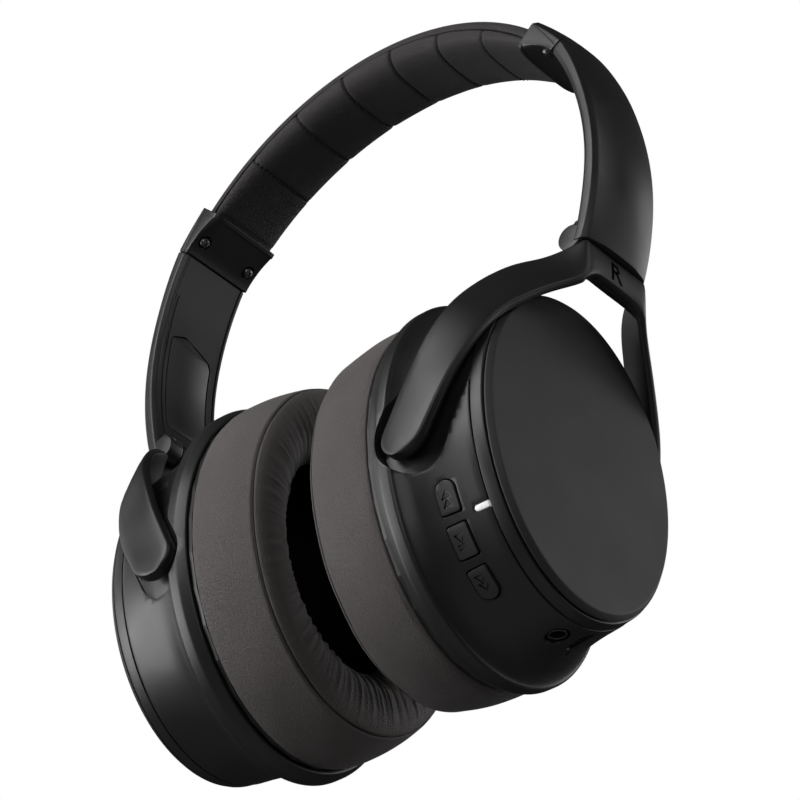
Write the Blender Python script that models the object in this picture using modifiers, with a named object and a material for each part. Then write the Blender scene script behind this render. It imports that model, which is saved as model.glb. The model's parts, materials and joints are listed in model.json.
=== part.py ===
"""Folding over-ear wireless headphones, built as separate pieces at their real size.

Frame: +Z up, +X towards the wearer's right, +Y towards the wearer's front.
The origin is the underside of the headband cushion at the crown, where a head or a hook carries it.
Everything on the left is the right-hand design mirrored through the plane x = 0.
"""

import math

import bmesh
import bpy
from mathutils import Matrix, Vector

MM = 0.001

# ---- driving sizes, in millimetres --------------------------------------------------------------

# headband: arcs about one centre, angles measured from +X towards +Z
BAND_RADIUS = 75.0          # outside of the cover
BAND_DEPTH = 9.0            # cover outside to cushion underside at the crown
BAND_END_THINNING = 2.8     # it is this much less at the ends
BAND_HALF_WIDTH = 10.3
COVER_WALL = 1.5
COVER_LIP = 2.9             # how far the cover's side lips come down
SPRING_THICKNESS = 0.8
SPRING_HALF_WIDTH = BAND_HALF_WIDTH - 4.3
BOARD_THICKNESS = 1.0
BOARD_HALF_WIDTH = BAND_HALF_WIDTH - 1.9
CHANNEL_PITCH_DEG = 13.0    # between the sewn channels of the cushion
CHANNEL_DEPTH = 0.9
CUSHION_SWELL = 0.5         # how far the cushion's sides stand past the cover at the crown
BAND_END_DEG = 44.3

# end caps
CAP_MOUTH_DEG = 43.8
CAP_FOOT_DEG = 33.9
CAP_PROUD = 2.0             # outside of the cap over the outside of the cover
CAP_HALF_WIDTH = BAND_HALF_WIDTH + 1.0
LIP_DROP = 0.6              # the mouth's lip stands this far past the cushion
LIP_CROWN = 2.0             # the lip is this much deeper in its middle than at its sides
LIP_LENGTH_DEG = 1.1
SCREW_HEAD_RADIUS = 1.45
SCREW_SHANK_RADIUS = 0.8
SCREW_OFFSET = CAP_HALF_WIDTH - 3.1
SCREW_DEG = 37.5

# slider tongue and its arc, shared by the cap and the arm
SLIDE_CENTRE_X = -14.0
SLIDE_CENTRE_RISE = 1.7     # above the band's centre
TONGUE_RADIUS = BAND_RADIUS + 10.85
TONGUE_THICKNESS = 1.0
TONGUE_HALF_WIDTH = CAP_HALF_WIDTH - 5.5
TONGUE_TOP_DEG = 36.0
TONGUE_FOOT_DEG = 3.0

# arms
ARM_HALF_WIDTH_TOP = CAP_HALF_WIDTH
ARM_HALF_WIDTH_FOOT = CAP_HALF_WIDTH + 0.5
ARM_CROWN = 1.3             # how far the outer face swells past its edges
ARM_WALL = 1.4
ARM_PANEL_THICKNESS = 1.2
ARM_SIDE_WALL = 1.6
# the arm's outer and inner edges by angle, as depths under the outside of the cap
ARM_DEPTHS_OUT = ((33.9, 0.0), (18.0, 2.6), (0.0, 3.9), (-17.5, 4.4))
ARM_DEPTHS_IN = ((33.9, 4.6), (18.0, 6.6), (4.6, 7.8), (-6.6, 8.6), (-17.5, 8.6))
INSERT_TOP_RISE = 92.0      # over the cup centre
INSERT_FOOT_RISE = 62.0
INSERT_HALF_WIDTH = ARM_HALF_WIDTH_TOP - 4.1
INSERT_DEPTH = 0.65
PANEL_SUNK = 0.25           # under the arm's inner edge

# fold knuckle
FOLD_X = BAND_RADIUS - 10.2
FOLD_DROP = BAND_RADIUS + 10.9      # below the crown of the cushion's underside
FLANGE_RADIUS = 49.0                # of the cup, along Z
FOLD_RISE = FLANGE_RADIUS + 2.4     # over the cup centre
KNUCKLE_RADIUS = 3.4
KNUCKLE_HALF_GAP = ARM_HALF_WIDTH_FOOT - 4.6   # half the gap between the arm's two cheeks
FOLD_PIN_RADIUS = 1.1
PARTING_RISE = FOLD_RISE - 1.8  # height of the line between arm and yoke

# ear cups: turned about X, then narrowed front to back
CUP_DROP = FOLD_DROP + FOLD_RISE    # crown of the cushion's underside to cup centre
CUP_ASPECT = 0.8
FLANGE_X = 28.0             # plane of the flange that the ear pad lies on
FLANGE_THICKNESS = 5.4
WALL_TOP_U = 24.7           # height of the cup wall above the flange plane
WALL_TOP_RADIUS = FLANGE_RADIUS - 6.9
RING_TOP_U = WALL_TOP_U + 3.35
RING_TOP_RADIUS = WALL_TOP_RADIUS - 0.6
RIM_WIDTH = 2.1              # of the trim ring
FACE_U = RING_TOP_U + 1.85
FACE_RADIUS = RING_TOP_RADIUS - 1.5
FACE_THICKNESS = 1.6
BAFFLE_THICKNESS = 1.6
DRIVER_RADIUS = 19.2

# ear pad
PAD_HEIGHT = 21.0
PAD_OUTER_RADIUS = FLANGE_RADIUS - 1.6
PAD_SEAM_RADIUS = PAD_OUTER_RADIUS - 1.8
PAD_SEAM_U = PAD_HEIGHT - 2.1
PAD_HOLE_RADIUS = PAD_OUTER_RADIUS - 17.9
PAD_SEAT_WIDTH = 10.6       # of the ring that carries the pad
PAD_PLATE_THICKNESS = 1.0

# yoke fork
PIVOT_X = FLANGE_X + 10.2
PIVOT_RISE = -6.3
TIP_RADIUS = 6.0
TIP_OUTER_Y = FLANGE_RADIUS * CUP_ASPECT + 0.1
STRAP_THICKNESS = 3.0
PIVOT_PIN_RADIUS = 1.9

# controls on the rear wall of the right cup, by angle round the cup below the rear point
KEY_DEGS = (-29.8, -44.4, -60.0)
KEY_LENGTH = 7.6
KEY_WIDTH = 4.6
KEY_U = 15.7
KEY_PROUD = 0.35
KEY_DEPTH = 2.0
LIGHT_DEG = -37.0
LIGHT_U = 22.6
LIGHT_LENGTH = 3.8
LIGHT_WIDTH = 1.3
JACK_DEG = -95.5
JACK_U = 19.2
JACK_RADIUS = 2.3
JACK_BORE_RADIUS = 1.8
JACK_HOLE_RADIUS = 2.9      # in the wall, round the sunk socket
JACK_SUNK = 0.8
USB_DEG = -108.0
USB_U = 19.8
USB_LENGTH = 6.8
USB_WIDTH = 2.4
MIC_DEG = -111.5
MIC_U = 14.5
MIC_LENGTH = 2.2
MIC_WIDTH = 0.7
LIGHT_DEPTH = 3.0
JACK_LENGTH = 13.0
USB_DEPTH = 6.5
USB_SUNK = 0.5

GAP = 0.3                   # between pieces that touch on the real product
RUNNING_GAP = 0.15          # round a pin
SNUG = 0.15                 # round a light or a socket in its hole
TURN_STEPS = 32
ROUND_SIDES = 24            # of the cheeks, the barrel and the fork tips

COLOURS = {
    "shell_black": ((0.030, 0.030, 0.032), 0.42, 0.0),
    "cover_black": ((0.040, 0.040, 0.041), 0.55, 0.0),
    "band_leather": ((0.017, 0.015, 0.015), 0.60, 0.0),
    "pad_leather": ((0.070, 0.058, 0.055), 0.62, 0.0),
    "steel": ((0.45, 0.45, 0.46), 0.35, 1.0),
    "dark_steel": ((0.10, 0.10, 0.11), 0.40, 1.0),
    "board_fibre": ((0.06, 0.05, 0.045), 0.80, 0.0),
    "cloth_black": ((0.010, 0.010, 0.010), 0.95, 0.0),
    "light_white": ((0.80, 0.80, 0.80), 0.30, 0.0),
    "circuit_green": ((0.02, 0.10, 0.05), 0.50, 0.0),
    "cell_grey": ((0.30, 0.31, 0.33), 0.50, 0.0),
}

parts = bpy.data.collections.new("over_ear_headphones")
cutters = bpy.data.collections.new("cutters")


# ---- small tools --------------------------------------------------------------------------------


def clear_scene():
    for obj in list(bpy.data.objects):
        bpy.data.objects.remove(obj, do_unlink=True)
    bpy.context.scene.collection.children.link(parts)
    bpy.context.scene.collection.children.link(cutters)


def material(name):
    found = bpy.data.materials.get(name)
    if found:
        return found
    colour, roughness, metallic = COLOURS[name]
    made = bpy.data.materials.new(name)
    made.use_nodes = True
    shader = made.node_tree.nodes["Principled BSDF"]
    shader.inputs["Base Color"].default_value = (*colour, 1.0)
    shader.inputs["Roughness"].default_value = roughness
    shader.inputs["Metallic"].default_value = metallic
    return made


def add_mesh_object(name, mesh, collection=parts):
    obj = bpy.data.objects.new(name, mesh)
    collection.objects.link(obj)
    return obj


def mesh_from(bm, name):
    bmesh.ops.recalc_face_normals(bm, faces=bm.faces)
    mesh = bpy.data.meshes.new(name)
    bm.to_mesh(mesh)
    bm.free()
    return mesh


def point(x, y, z):
    return Vector((x, y, z)) * MM


def polar(centre, radius, degrees, y=0.0):
    angle = math.radians(degrees)
    return point(centre[0] + radius * math.cos(angle), y, centre[1] + radius * math.sin(angle))


def interpolate(table, at):
    """Smooth value at a place in a table of (place, value), by a Catmull-Rom curve through it."""
    rows = sorted(table)
    if at <= rows[0][0]:
        return rows[0][1]
    if at >= rows[-1][0]:
        return rows[-1][1]
    index = max(i for i, row in enumerate(rows) if row[0] <= at)
    index = min(index, len(rows) - 2)
    (x1, y1), (x2, y2) = rows[index], rows[index + 1]
    x0, y0 = rows[index - 1] if index else (2 * x1 - x2, 2 * y1 - y2)
    x3, y3 = rows[index + 2] if index + 2 < len(rows) else (2 * x2 - x1, 2 * y2 - y1)
    slope1 = (y2 - y0) / (x2 - x0)
    slope2 = (y3 - y1) / (x3 - x1)
    span = x2 - x1
    t = (at - x1) / span
    return (
        (2 * t**3 - 3 * t**2 + 1) * y1
        + (t**3 - 2 * t**2 + t) * span * slope1
        + (-2 * t**3 + 3 * t**2) * y2
        + (t**3 - t**2) * span * slope2
    )


def spaced(start, end, count):
    return [start + (end - start) * i / (count - 1) for i in range(count)]


def loft(name, rings, collection=parts, cap_start=True, cap_end=True):
    """A closed skin through rings of equal count, with flat ends."""
    bm = bmesh.new()
    loops = [[bm.verts.new(corner) for corner in ring] for ring in rings]
    count = len(loops[0])
    for near, far in zip(loops, loops[1:]):
        for i in range(count):
            j = (i + 1) % count
            bm.faces.new((near[i], near[j], far[j], far[i]))
    if cap_start:
        bm.faces.new(loops[0])
    if cap_end:
        bm.faces.new(loops[-1])
    return add_mesh_object(name, mesh_from(bm, name), collection)


def arc_sweep(name, section, centre, start_deg, end_deg, steps, collection=parts):
    """Spins a closed (y, radius) section about an axis along Y, from one angle to the other."""
    bm = bmesh.new()
    corners = [bm.verts.new(polar(centre, radius, start_deg, y)) for y, radius in section]
    face = bm.faces.new(corners)
    bmesh.ops.spin(
        bm,
        geom=[face, *face.edges, *face.verts],
        cent=point(centre[0], 0, centre[1]),
        axis=(0, 1, 0),
        angle=math.radians(start_deg - end_deg),
        steps=steps,
        use_duplicate=False,
    )
    return add_mesh_object(name, mesh_from(bm, name), collection)


def turned(name, profile, collection=parts, aspect=CUP_ASPECT, steps=TURN_STEPS):
    """Turns an (x, radius) profile about the cup's axis and narrows it front to back.

    A profile that starts and ends on the axis makes a disc, any other is closed into a ring.
    """
    obj = screw_turned(name, profile, collection, steps)
    obj.scale = (1, aspect, 1)
    obj.location = point(0, 0, -CUP_DROP)
    return obj


def screw_turned(name, profile, collection, steps):
    """Turns an (x, radius) profile about X, with its faces pointing out whichever way it runs."""
    pairs = zip(profile, profile[1:] + profile[:1])
    area = sum(x1 * r2 - x2 * r1 for (x1, r1), (x2, r2) in pairs)
    rows = profile if area > 0 else profile[::-1]
    bm = bmesh.new()
    corners = [bm.verts.new(point(x, 0, radius)) for x, radius in rows]
    for near, far in zip(corners, corners[1:]):
        bm.edges.new((near, far))
    if profile[0][1] > 0:
        bm.edges.new((corners[-1], corners[0]))
    mesh = bpy.data.meshes.new(name)
    bm.to_mesh(mesh)
    bm.free()
    obj = add_mesh_object(name, mesh, collection)
    screw = obj.modifiers.new("turn", "SCREW")
    screw.axis = "X"
    screw.steps = steps
    screw.render_steps = steps
    screw.use_merge_vertices = True
    screw.merge_threshold = 0.00001
    return obj


def prism(name, outline, depth, collection=cutters, bevel=0.0):
    """A flat outline in local XY, given half its depth each way along local Z, as a welded mesh."""
    curve = bpy.data.curves.new(name, "CURVE")
    curve.dimensions = "2D"
    curve.fill_mode = "BOTH"
    curve.extrude = depth * MM / 2
    spline = curve.splines.new("POLY")
    spline.points.add(len(outline) - 1)
    for spot, (x, y) in zip(spline.points, outline):
        spot.co = (x * MM, y * MM, 0, 1)
    spline.use_cyclic_u = True
    guide = bpy.data.objects.new(name + "_outline", curve)
    bpy.context.scene.collection.objects.link(guide)
    bpy.context.view_layer.update()
    graph = bpy.context.evaluated_depsgraph_get()
    mesh = bpy.data.meshes.new_from_object(guide.evaluated_get(graph))
    bpy.data.objects.remove(guide, do_unlink=True)
    bm = bmesh.new()
    bm.from_mesh(mesh)
    bmesh.ops.remove_doubles(bm, verts=bm.verts, dist=0.00001)
    bmesh.ops.recalc_face_normals(bm, faces=bm.faces)
    bm.to_mesh(mesh)
    bm.free()
    mesh.name = name
    obj = add_mesh_object(name, mesh, collection)
    if bevel:
        add_bevel(obj, bevel)
    return obj


def rod(name, radius, y_start, y_end, x, z, collection=parts, sides=20):
    """A round bar along Y."""
    bpy.ops.mesh.primitive_cylinder_add(
        vertices=sides,
        radius=radius * MM,
        depth=abs(y_end - y_start) * MM,
        location=point(x, (y_start + y_end) / 2, z),
        rotation=(math.pi / 2, 0, 0),
    )
    obj = bpy.context.object
    obj.name = name
    obj.data.name = name
    move_to(obj, collection)
    return obj


def move_to(obj, collection):
    for old in list(obj.users_collection):
        old.objects.unlink(obj)
    collection.objects.link(obj)


def add_bevel(obj, width, segments=2):
    bevel = obj.modifiers.new("rounded", "BEVEL")
    bevel.width = width * MM
    bevel.segments = segments
    bevel.limit_method = "ANGLE"
    bevel.angle_limit = math.radians(50)


def boolean(obj, operation, other):
    change = obj.modifiers.new(operation.lower(), "BOOLEAN")
    change.operation = operation
    change.object = other
    change.solver = "EXACT"


def cut(obj, *others):
    for other in others:
        boolean(obj, "DIFFERENCE", other)


def join(obj, *others):
    for other in others:
        boolean(obj, "UNION", other)


def keep_inside(obj, other):
    boolean(obj, "INTERSECT", other)


def stadium(length, width, round_start, round_end, corner=0.5, steps=6):
    """An outline along local Y whose ends are full half rounds or have small corner radii."""
    half = width / 2
    outline = []

    def corner_arc(cx, cy, radius, start):
        for i in range(steps + 1):
            angle = math.radians(start + 90 * i / steps)
            outline.append((cx + radius * math.cos(angle), cy + radius * math.sin(angle)))

    for sign, rounded in ((1, round_end), (-1, round_start)):
        radius = half * 0.999 if rounded else corner
        first, second = (0, 90) if sign > 0 else (180, 270)
        corner_arc(sign * (half - radius), sign * (length / 2 - radius), radius, first)
        corner_arc(-sign * (half - radius), sign * (length / 2 - radius), radius, second)
    return outline


# ---- places worked out from the sizes -----------------------------------------------------------

BAND_CENTRE = (0.0, BAND_DEPTH - BAND_RADIUS)
SLIDE_CENTRE = (SLIDE_CENTRE_X, BAND_CENTRE[1] + SLIDE_CENTRE_RISE)
CUSHION_TOP = BAND_RADIUS - COVER_WALL - SPRING_THICKNESS - BOARD_THICKNESS - 3 * GAP
CAP_RADIUS = BAND_RADIUS + CAP_PROUD
ARM_EDGE_OUT = [(degrees, CAP_RADIUS - depth) for degrees, depth in ARM_DEPTHS_OUT]
ARM_EDGE_IN = [(degrees, CAP_RADIUS - depth) for degrees, depth in ARM_DEPTHS_IN]
FLEX_PIVOT = polar(BAND_CENTRE, CAP_RADIUS + ARM_CROWN, CAP_MOUTH_DEG + 0.1)
FOLD_PIVOT = point(FOLD_X, 0, FOLD_RISE - CUP_DROP)
SLIDE_PIVOT = point(SLIDE_CENTRE[0], 0, SLIDE_CENTRE[1])
TILT_PIVOT = point(PIVOT_X, 0, PIVOT_RISE - CUP_DROP)
PARTING_Z = PARTING_RISE - CUP_DROP


class Side:
    """One side of the headphones: a mirrored frame and the empties that its moving pieces hang from."""

    def __init__(self, letter):
        self.letter = letter
        self.root = self.empty("side_" + letter, None, Vector())
        self.root.scale.x = 1 if letter == "R" else -1
        self.band_end = self.empty("flex_axis_" + letter, self.root, FLEX_PIVOT)
        self.arm = self.empty("slide_axis_" + letter, self.band_end, SLIDE_PIVOT)
        self.yoke = self.empty("fold_axis_" + letter, self.arm, FOLD_PIVOT)
        self.cup = self.empty("tilt_axis_" + letter, self.yoke, TILT_PIVOT)

    def empty(self, name, parent, place):
        made = bpy.data.objects.new(name, None)
        made.empty_display_size = 0.01
        parts.objects.link(made)
        made["place"] = list(place)
        if parent:
            made.parent = parent
            made.location = place - Vector(parent["place"])
        return made

    def hang(self, obj, carrier, finish):
        """Hangs a piece, modelled in the right-hand frame, from the empty on its joint's axis."""
        obj.parent = carrier
        obj.location = obj.location - Vector(carrier["place"])
        obj.data.materials.append(material(finish))
        obj.data.shade_smooth()
        obj.data.set_sharp_from_angle(angle=math.radians(35))
        return obj

    def name(self, word):
        return word + "_" + self.letter

    def cutter(self, obj):
        """Gives a cutter this side's frame."""
        obj.parent = self.root
        return obj


# ---- headband -----------------------------------------------------------------------------------


def half_ring(points):
    """A section given for y >= 0 from the top down, closed by its mirror image."""
    return points + [(-y, r) for y, r in reversed(points) if y > 0]


def headband_cover():
    outer = BAND_RADIUS
    inner = outer - COVER_WALL
    lip = outer - COVER_LIP
    half = BAND_HALF_WIDTH
    section = [
        (0.0, outer),
        (half - 2.6, outer - 0.1),
        (half - 0.7, outer - 0.5),
        (half, outer - 1.2),
        (half, lip),
        (half - 1.1, lip),
        (half - 1.1, inner),
        (0.0, inner),
    ]
    return arc_sweep("headband_cover", half_ring(section), BAND_CENTRE, 180 - BAND_END_DEG, BAND_END_DEG, 26)


def headband_spring():
    top = BAND_RADIUS - COVER_WALL - GAP
    section = flat_section(top, top - SPRING_THICKNESS, SPRING_HALF_WIDTH)
    return arc_sweep("headband_spring", section, BAND_CENTRE, 180 - BAND_END_DEG, BAND_END_DEG, 30)


def headband_board():
    top = BAND_RADIUS - COVER_WALL - SPRING_THICKNESS - 2 * GAP
    section = flat_section(top, top - BOARD_THICKNESS, BOARD_HALF_WIDTH)
    return arc_sweep("headband_board", section, BAND_CENTRE, 180 - BAND_END_DEG, BAND_END_DEG, 30)


def flat_section(top, bottom, half_width):
    return [(-half_width, top), (half_width, top), (half_width, bottom), (-half_width, bottom)]


def cushion_bottom(degrees):
    share = abs(degrees - 90) / (90 - BAND_END_DEG)
    return BAND_RADIUS - BAND_DEPTH + BAND_END_THINNING * share * share


def cushion_ring(degrees, fullness):
    """Crowned underside of the headband cushion, drawn in where it is sewn."""
    share = abs(degrees - 90) / (90 - BAND_END_DEG)
    bottom = cushion_bottom(degrees) + CHANNEL_DEPTH * (1 - fullness)
    swell = BAND_HALF_WIDTH + CUSHION_SWELL * (1 - share) * (2 * fullness - 1)
    shoulder = BAND_RADIUS - COVER_LIP - GAP
    seat = BOARD_HALF_WIDTH + GAP
    section = [(0.0, CUSHION_TOP), (seat, CUSHION_TOP), (seat, shoulder), (swell - 0.5, shoulder)]
    for step in range(6):
        angle = math.radians(90 * step / 5)
        y = swell * math.cos(angle) ** 0.7 if step < 5 else 0.0
        section.append((y, shoulder - 0.4 - (shoulder - 0.4 - bottom) * math.sin(angle)))
    return [polar(BAND_CENTRE, r, degrees, y) for y, r in half_ring(section)]


def headband_cushion():
    """Panels between sewn channels, fullest in the middle of each."""
    steps_per_panel = 4
    half_panels = 3.5
    first = 90 + CHANNEL_PITCH_DEG * half_panels
    count = int(round(2 * half_panels)) * steps_per_panel
    rings = []
    for i in range(count + 1):
        degrees = first - CHANNEL_PITCH_DEG * i / steps_per_panel
        phase = (i % steps_per_panel) / steps_per_panel
        rings.append(cushion_ring(degrees, math.sin(math.pi * phase) ** 0.5))
    return loft("headband_cushion", rings)


# ---- end cap and slider -------------------------------------------------------------------------


def on_slide_arc(radius, degrees):
    """The radius about the band's centre of a place on the slider's arc, for an angle about the band."""
    angle = math.radians(degrees)
    dx = SLIDE_CENTRE[0] - BAND_CENTRE[0]
    dz = SLIDE_CENTRE[1] - BAND_CENTRE[1]
    along = dx * math.cos(angle) + dz * math.sin(angle)
    across = dx * dx + dz * dz - along * along
    return along + math.sqrt(radius * radius - across)


TONGUE_IN = TONGUE_RADIUS - TONGUE_THICKNESS / 2
TONGUE_OUT = TONGUE_RADIUS + TONGUE_THICKNESS / 2


def cap_outer(side):
    """Outside shell of the end cap: a channel with solid side rails that take the screws."""
    half = CAP_HALF_WIDTH
    rail = TONGUE_HALF_WIDTH + GAP + 0.1
    rings = []
    for degrees in spaced(CAP_MOUTH_DEG, CAP_FOOT_DEG, 7):
        ceiling = on_slide_arc(TONGUE_OUT, degrees) + GAP
        floor = on_slide_arc(TONGUE_IN, degrees)
        section = half_ring([
            (0.0, CAP_RADIUS + ARM_CROWN),
            (6.0, CAP_RADIUS + 0.9),
            (half - 1.3, CAP_RADIUS),
            (half, CAP_RADIUS - 1.1),
            (half, floor),
            (rail, floor),
            (rail, ceiling),
            (0.0, ceiling),
        ])
        rings.append([polar(BAND_CENTRE, r, degrees, y) for y, r in section])
    obj = loft(side.name("end_cap_outer"), rings)
    cut(obj, *[side.cutter(screw_shape(side, y, GAP / 2, cutters)) for y in (-SCREW_OFFSET, SCREW_OFFSET)])
    return side.hang(obj, side.band_end, "shell_black")


def cap_inner(side):
    """Inside cover of the end cap: a ramp from the crowned lip at the mouth down to the thin arm."""
    half = CAP_HALF_WIDTH
    lip_end = CAP_MOUTH_DEG - LIP_LENGTH_DEG
    thin = interpolate(ARM_EDGE_IN, CAP_FOOT_DEG)
    deep = cushion_bottom(BAND_END_DEG) - LIP_DROP
    rings = []
    for degrees in [CAP_MOUTH_DEG, lip_end] + spaced(lip_end - 0.5, CAP_FOOT_DEG, 6):
        left = (1 - max(0.0, (lip_end - degrees) / (lip_end - CAP_FOOT_DEG))) ** 1.7
        middle = thin - (thin - deep) * left
        edge = thin - (thin - deep - LIP_CROWN) * left
        top = on_slide_arc(TONGUE_IN, degrees) - GAP
        section = [(0.0, top), (half, top)]
        for step in range(5):
            angle = math.radians(90 * step / 4)
            y = half * math.cos(angle) ** 0.7 if step < 4 else 0.0
            section.append((y, edge - (edge - middle + 0.01) * math.sin(angle)))
        rings.append([polar(BAND_CENTRE, r, degrees, y) for y, r in half_ring(section)])
    obj = loft(side.name("end_cap_inner"), rings)
    cut(obj, *[side.cutter(screw_shape(side, y, GAP / 2, cutters)) for y in (-SCREW_OFFSET, SCREW_OFFSET)])
    return side.hang(obj, side.band_end, "shell_black")


def screw_shape(side, y, clearance, collection=parts):
    """A pan head and shank standing across the cap, axis pointing to the band's centre."""
    seat = on_slide_arc(TONGUE_IN, SCREW_DEG) - 2.3
    head = SCREW_HEAD_RADIUS + clearance
    shank = SCREW_SHANK_RADIUS + clearance
    end = CAP_RADIUS - 1.0 + clearance
    low = seat - (1.2 if collection is parts else 12.0)
    if collection is parts:
        profile = [(low, 0.0), (low, head - 0.4), (low + 0.4, head), (seat, head), (seat, shank)]
    else:
        profile = [(low, 0.0), (low, head), (seat + clearance, head), (seat + clearance, shank)]
    profile += [(end, shank), (end, 0.0)]
    word = "front" if y > 0 else "rear"
    name = side.name("cap_screw_" + word) if collection is parts else side.name("screw_hole_" + word)
    obj = screw_turned(name, profile, collection, 12)
    obj.rotation_euler = (0, -math.radians(SCREW_DEG), 0)
    obj.location = point(BAND_CENTRE[0], y, BAND_CENTRE[1])
    return obj


def cap_screw(side, y):
    return side.hang(screw_shape(side, y, 0.0), side.band_end, "dark_steel")


def slider_tongue(side):
    section = flat_section(TONGUE_OUT, TONGUE_IN, TONGUE_HALF_WIDTH)
    obj = arc_sweep(side.name("slider_tongue"), section, SLIDE_CENTRE, TONGUE_TOP_DEG, TONGUE_FOOT_DEG, 20)
    return side.hang(obj, side.band_end, "steel")


# ---- arm ----------------------------------------------------------------------------------------

ARM_TOP_DEG = CAP_FOOT_DEG - 0.25
ARM_FOOT_DEG = math.degrees(math.asin((PARTING_Z - BAND_CENTRE[1]) / ARM_EDGE_OUT[-1][1]))


def arm_half_width(degrees):
    run = (ARM_TOP_DEG - degrees) / (ARM_TOP_DEG - ARM_FOOT_DEG)
    return ARM_HALF_WIDTH_TOP + (ARM_HALF_WIDTH_FOOT - ARM_HALF_WIDTH_TOP) * run


def arm_places():
    return spaced(ARM_TOP_DEG, ARM_FOOT_DEG - 1.5, 14)


def arm_outer_ring(degrees):
    half = arm_half_width(degrees)
    edge = interpolate(ARM_EDGE_OUT, degrees)
    low = interpolate(ARM_EDGE_IN, degrees)
    wall = half - ARM_SIDE_WALL
    section = half_ring([
        (0.0, edge + ARM_CROWN),
        (6.0, edge + 0.9),
        (half - 1.3, edge),
        (half, edge - 1.1),
        (half, low + 0.3),
        (half - 0.3, low),
        (wall, low),
        (wall, edge - 0.9),
        (5.5, edge + 0.9 - ARM_WALL),
        (0.0, edge + ARM_CROWN - ARM_WALL),
    ])
    return [polar(BAND_CENTRE, r, degrees, y) for y, r in section]


def below_parting(side):
    """A block that takes away everything below the line between arm and yoke."""
    size = 40
    bpy.ops.mesh.primitive_cube_add(size=size * MM, location=point(FOLD_X, 0, PARTING_Z - size / 2))
    obj = bpy.context.object
    obj.name = side.name("below_parting")
    move_to(obj, cutters)
    return side.cutter(obj)


def arm_shell(side):
    """Outer shell of the arm: a channel open towards the head, with two cheeks for the fold pin."""
    obj = loft(side.name("arm_shell"), [arm_outer_ring(d) for d in arm_places()])
    cut(obj, below_parting(side))
    for sign in (-1, 1):
        edge = ARM_HALF_WIDTH_FOOT - 0.1
        word = "front" if sign > 0 else "rear"
        cheek = rod(
            side.name("cheek_" + word), KNUCKLE_RADIUS, sign * KNUCKLE_HALF_GAP, sign * edge,
            FOLD_X, FOLD_RISE - CUP_DROP, cutters, ROUND_SIDES,
        )
        join(obj, side.cutter(cheek))
    high = FOLD_RISE - CUP_DROP
    reach = ARM_HALF_WIDTH_FOOT - 0.9
    hole = rod(side.name("fold_pin_hole"), FOLD_PIN_RADIUS + 0.05, -reach, reach, FOLD_X, high, cutters)
    cut(obj, side.cutter(hole))
    return side.hang(obj, side.arm, "shell_black")


def arm_panel_ring(degrees, outside, inside, half):
    low = interpolate(ARM_EDGE_IN, degrees)
    section = flat_section(low + outside, low + inside, half(degrees))
    return [polar(BAND_CENTRE, r, degrees, y) for y, r in section]


PANEL_FOOT_DEG = ARM_FOOT_DEG + 5.6


def arm_panel(side):
    """Inner panel that closes the arm towards the head, recessed for its insert."""
    places = spaced(ARM_TOP_DEG, PANEL_FOOT_DEG, 15)
    rings = [
        arm_panel_ring(
            d, PANEL_SUNK + ARM_PANEL_THICKNESS, PANEL_SUNK,
            lambda at: arm_half_width(at) - ARM_SIDE_WALL - GAP,
        )
        for d in places
    ]
    obj = loft(side.name("arm_panel"), rings)
    recess = insert_shape(side, "insert_recess", PANEL_SUNK + INSERT_DEPTH, -2.0, GAP, cutters)
    cut(obj, side.cutter(recess))
    return side.hang(obj, side.arm, "shell_black")


def insert_shape(side, word, outside, inside, clearance, collection):
    """A thin plate that follows the inner panel, cut to a five-sided outline with a peaked top."""
    places = spaced(22.0, -12.0, 10)
    rings = [arm_panel_ring(d, outside, inside, lambda at: INSERT_HALF_WIDTH + 1.0) for d in places]
    plate = loft(side.name(word), rings, collection)
    half = INSERT_HALF_WIDTH + clearance
    top = INSERT_TOP_RISE - CUP_DROP + clearance
    foot = INSERT_FOOT_RISE - CUP_DROP - clearance
    outline = [(-half, foot + 2), (-half + 2, foot), (half - 2, foot), (half, foot + 2), (half, top - 4.5)]
    outline += [(half - 1.2, top - 2.8), (-half + 4.5, top), (-half, top - 2.0)]
    across = 60
    shape = prism(side.name(word + "_outline"), outline, across)
    shape.rotation_euler = (math.pi / 2, 0, math.pi / 2)
    shape.location = point(FOLD_X, 0, 0)
    side.cutter(shape)
    keep_inside(plate, shape)
    return plate


def arm_insert(side):
    obj = insert_shape(side, "arm_insert", PANEL_SUNK + INSERT_DEPTH - GAP, 0.1, 0.0, parts)
    return side.hang(obj, side.arm, "cover_black")


def fold_pin(side):
    reach = ARM_HALF_WIDTH_FOOT - 1.2
    obj = rod(side.name("fold_pin"), FOLD_PIN_RADIUS, -reach, reach, FOLD_X, FOLD_RISE - CUP_DROP)
    return side.hang(obj, side.arm, "steel")


# ---- yoke ---------------------------------------------------------------------------------------

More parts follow.
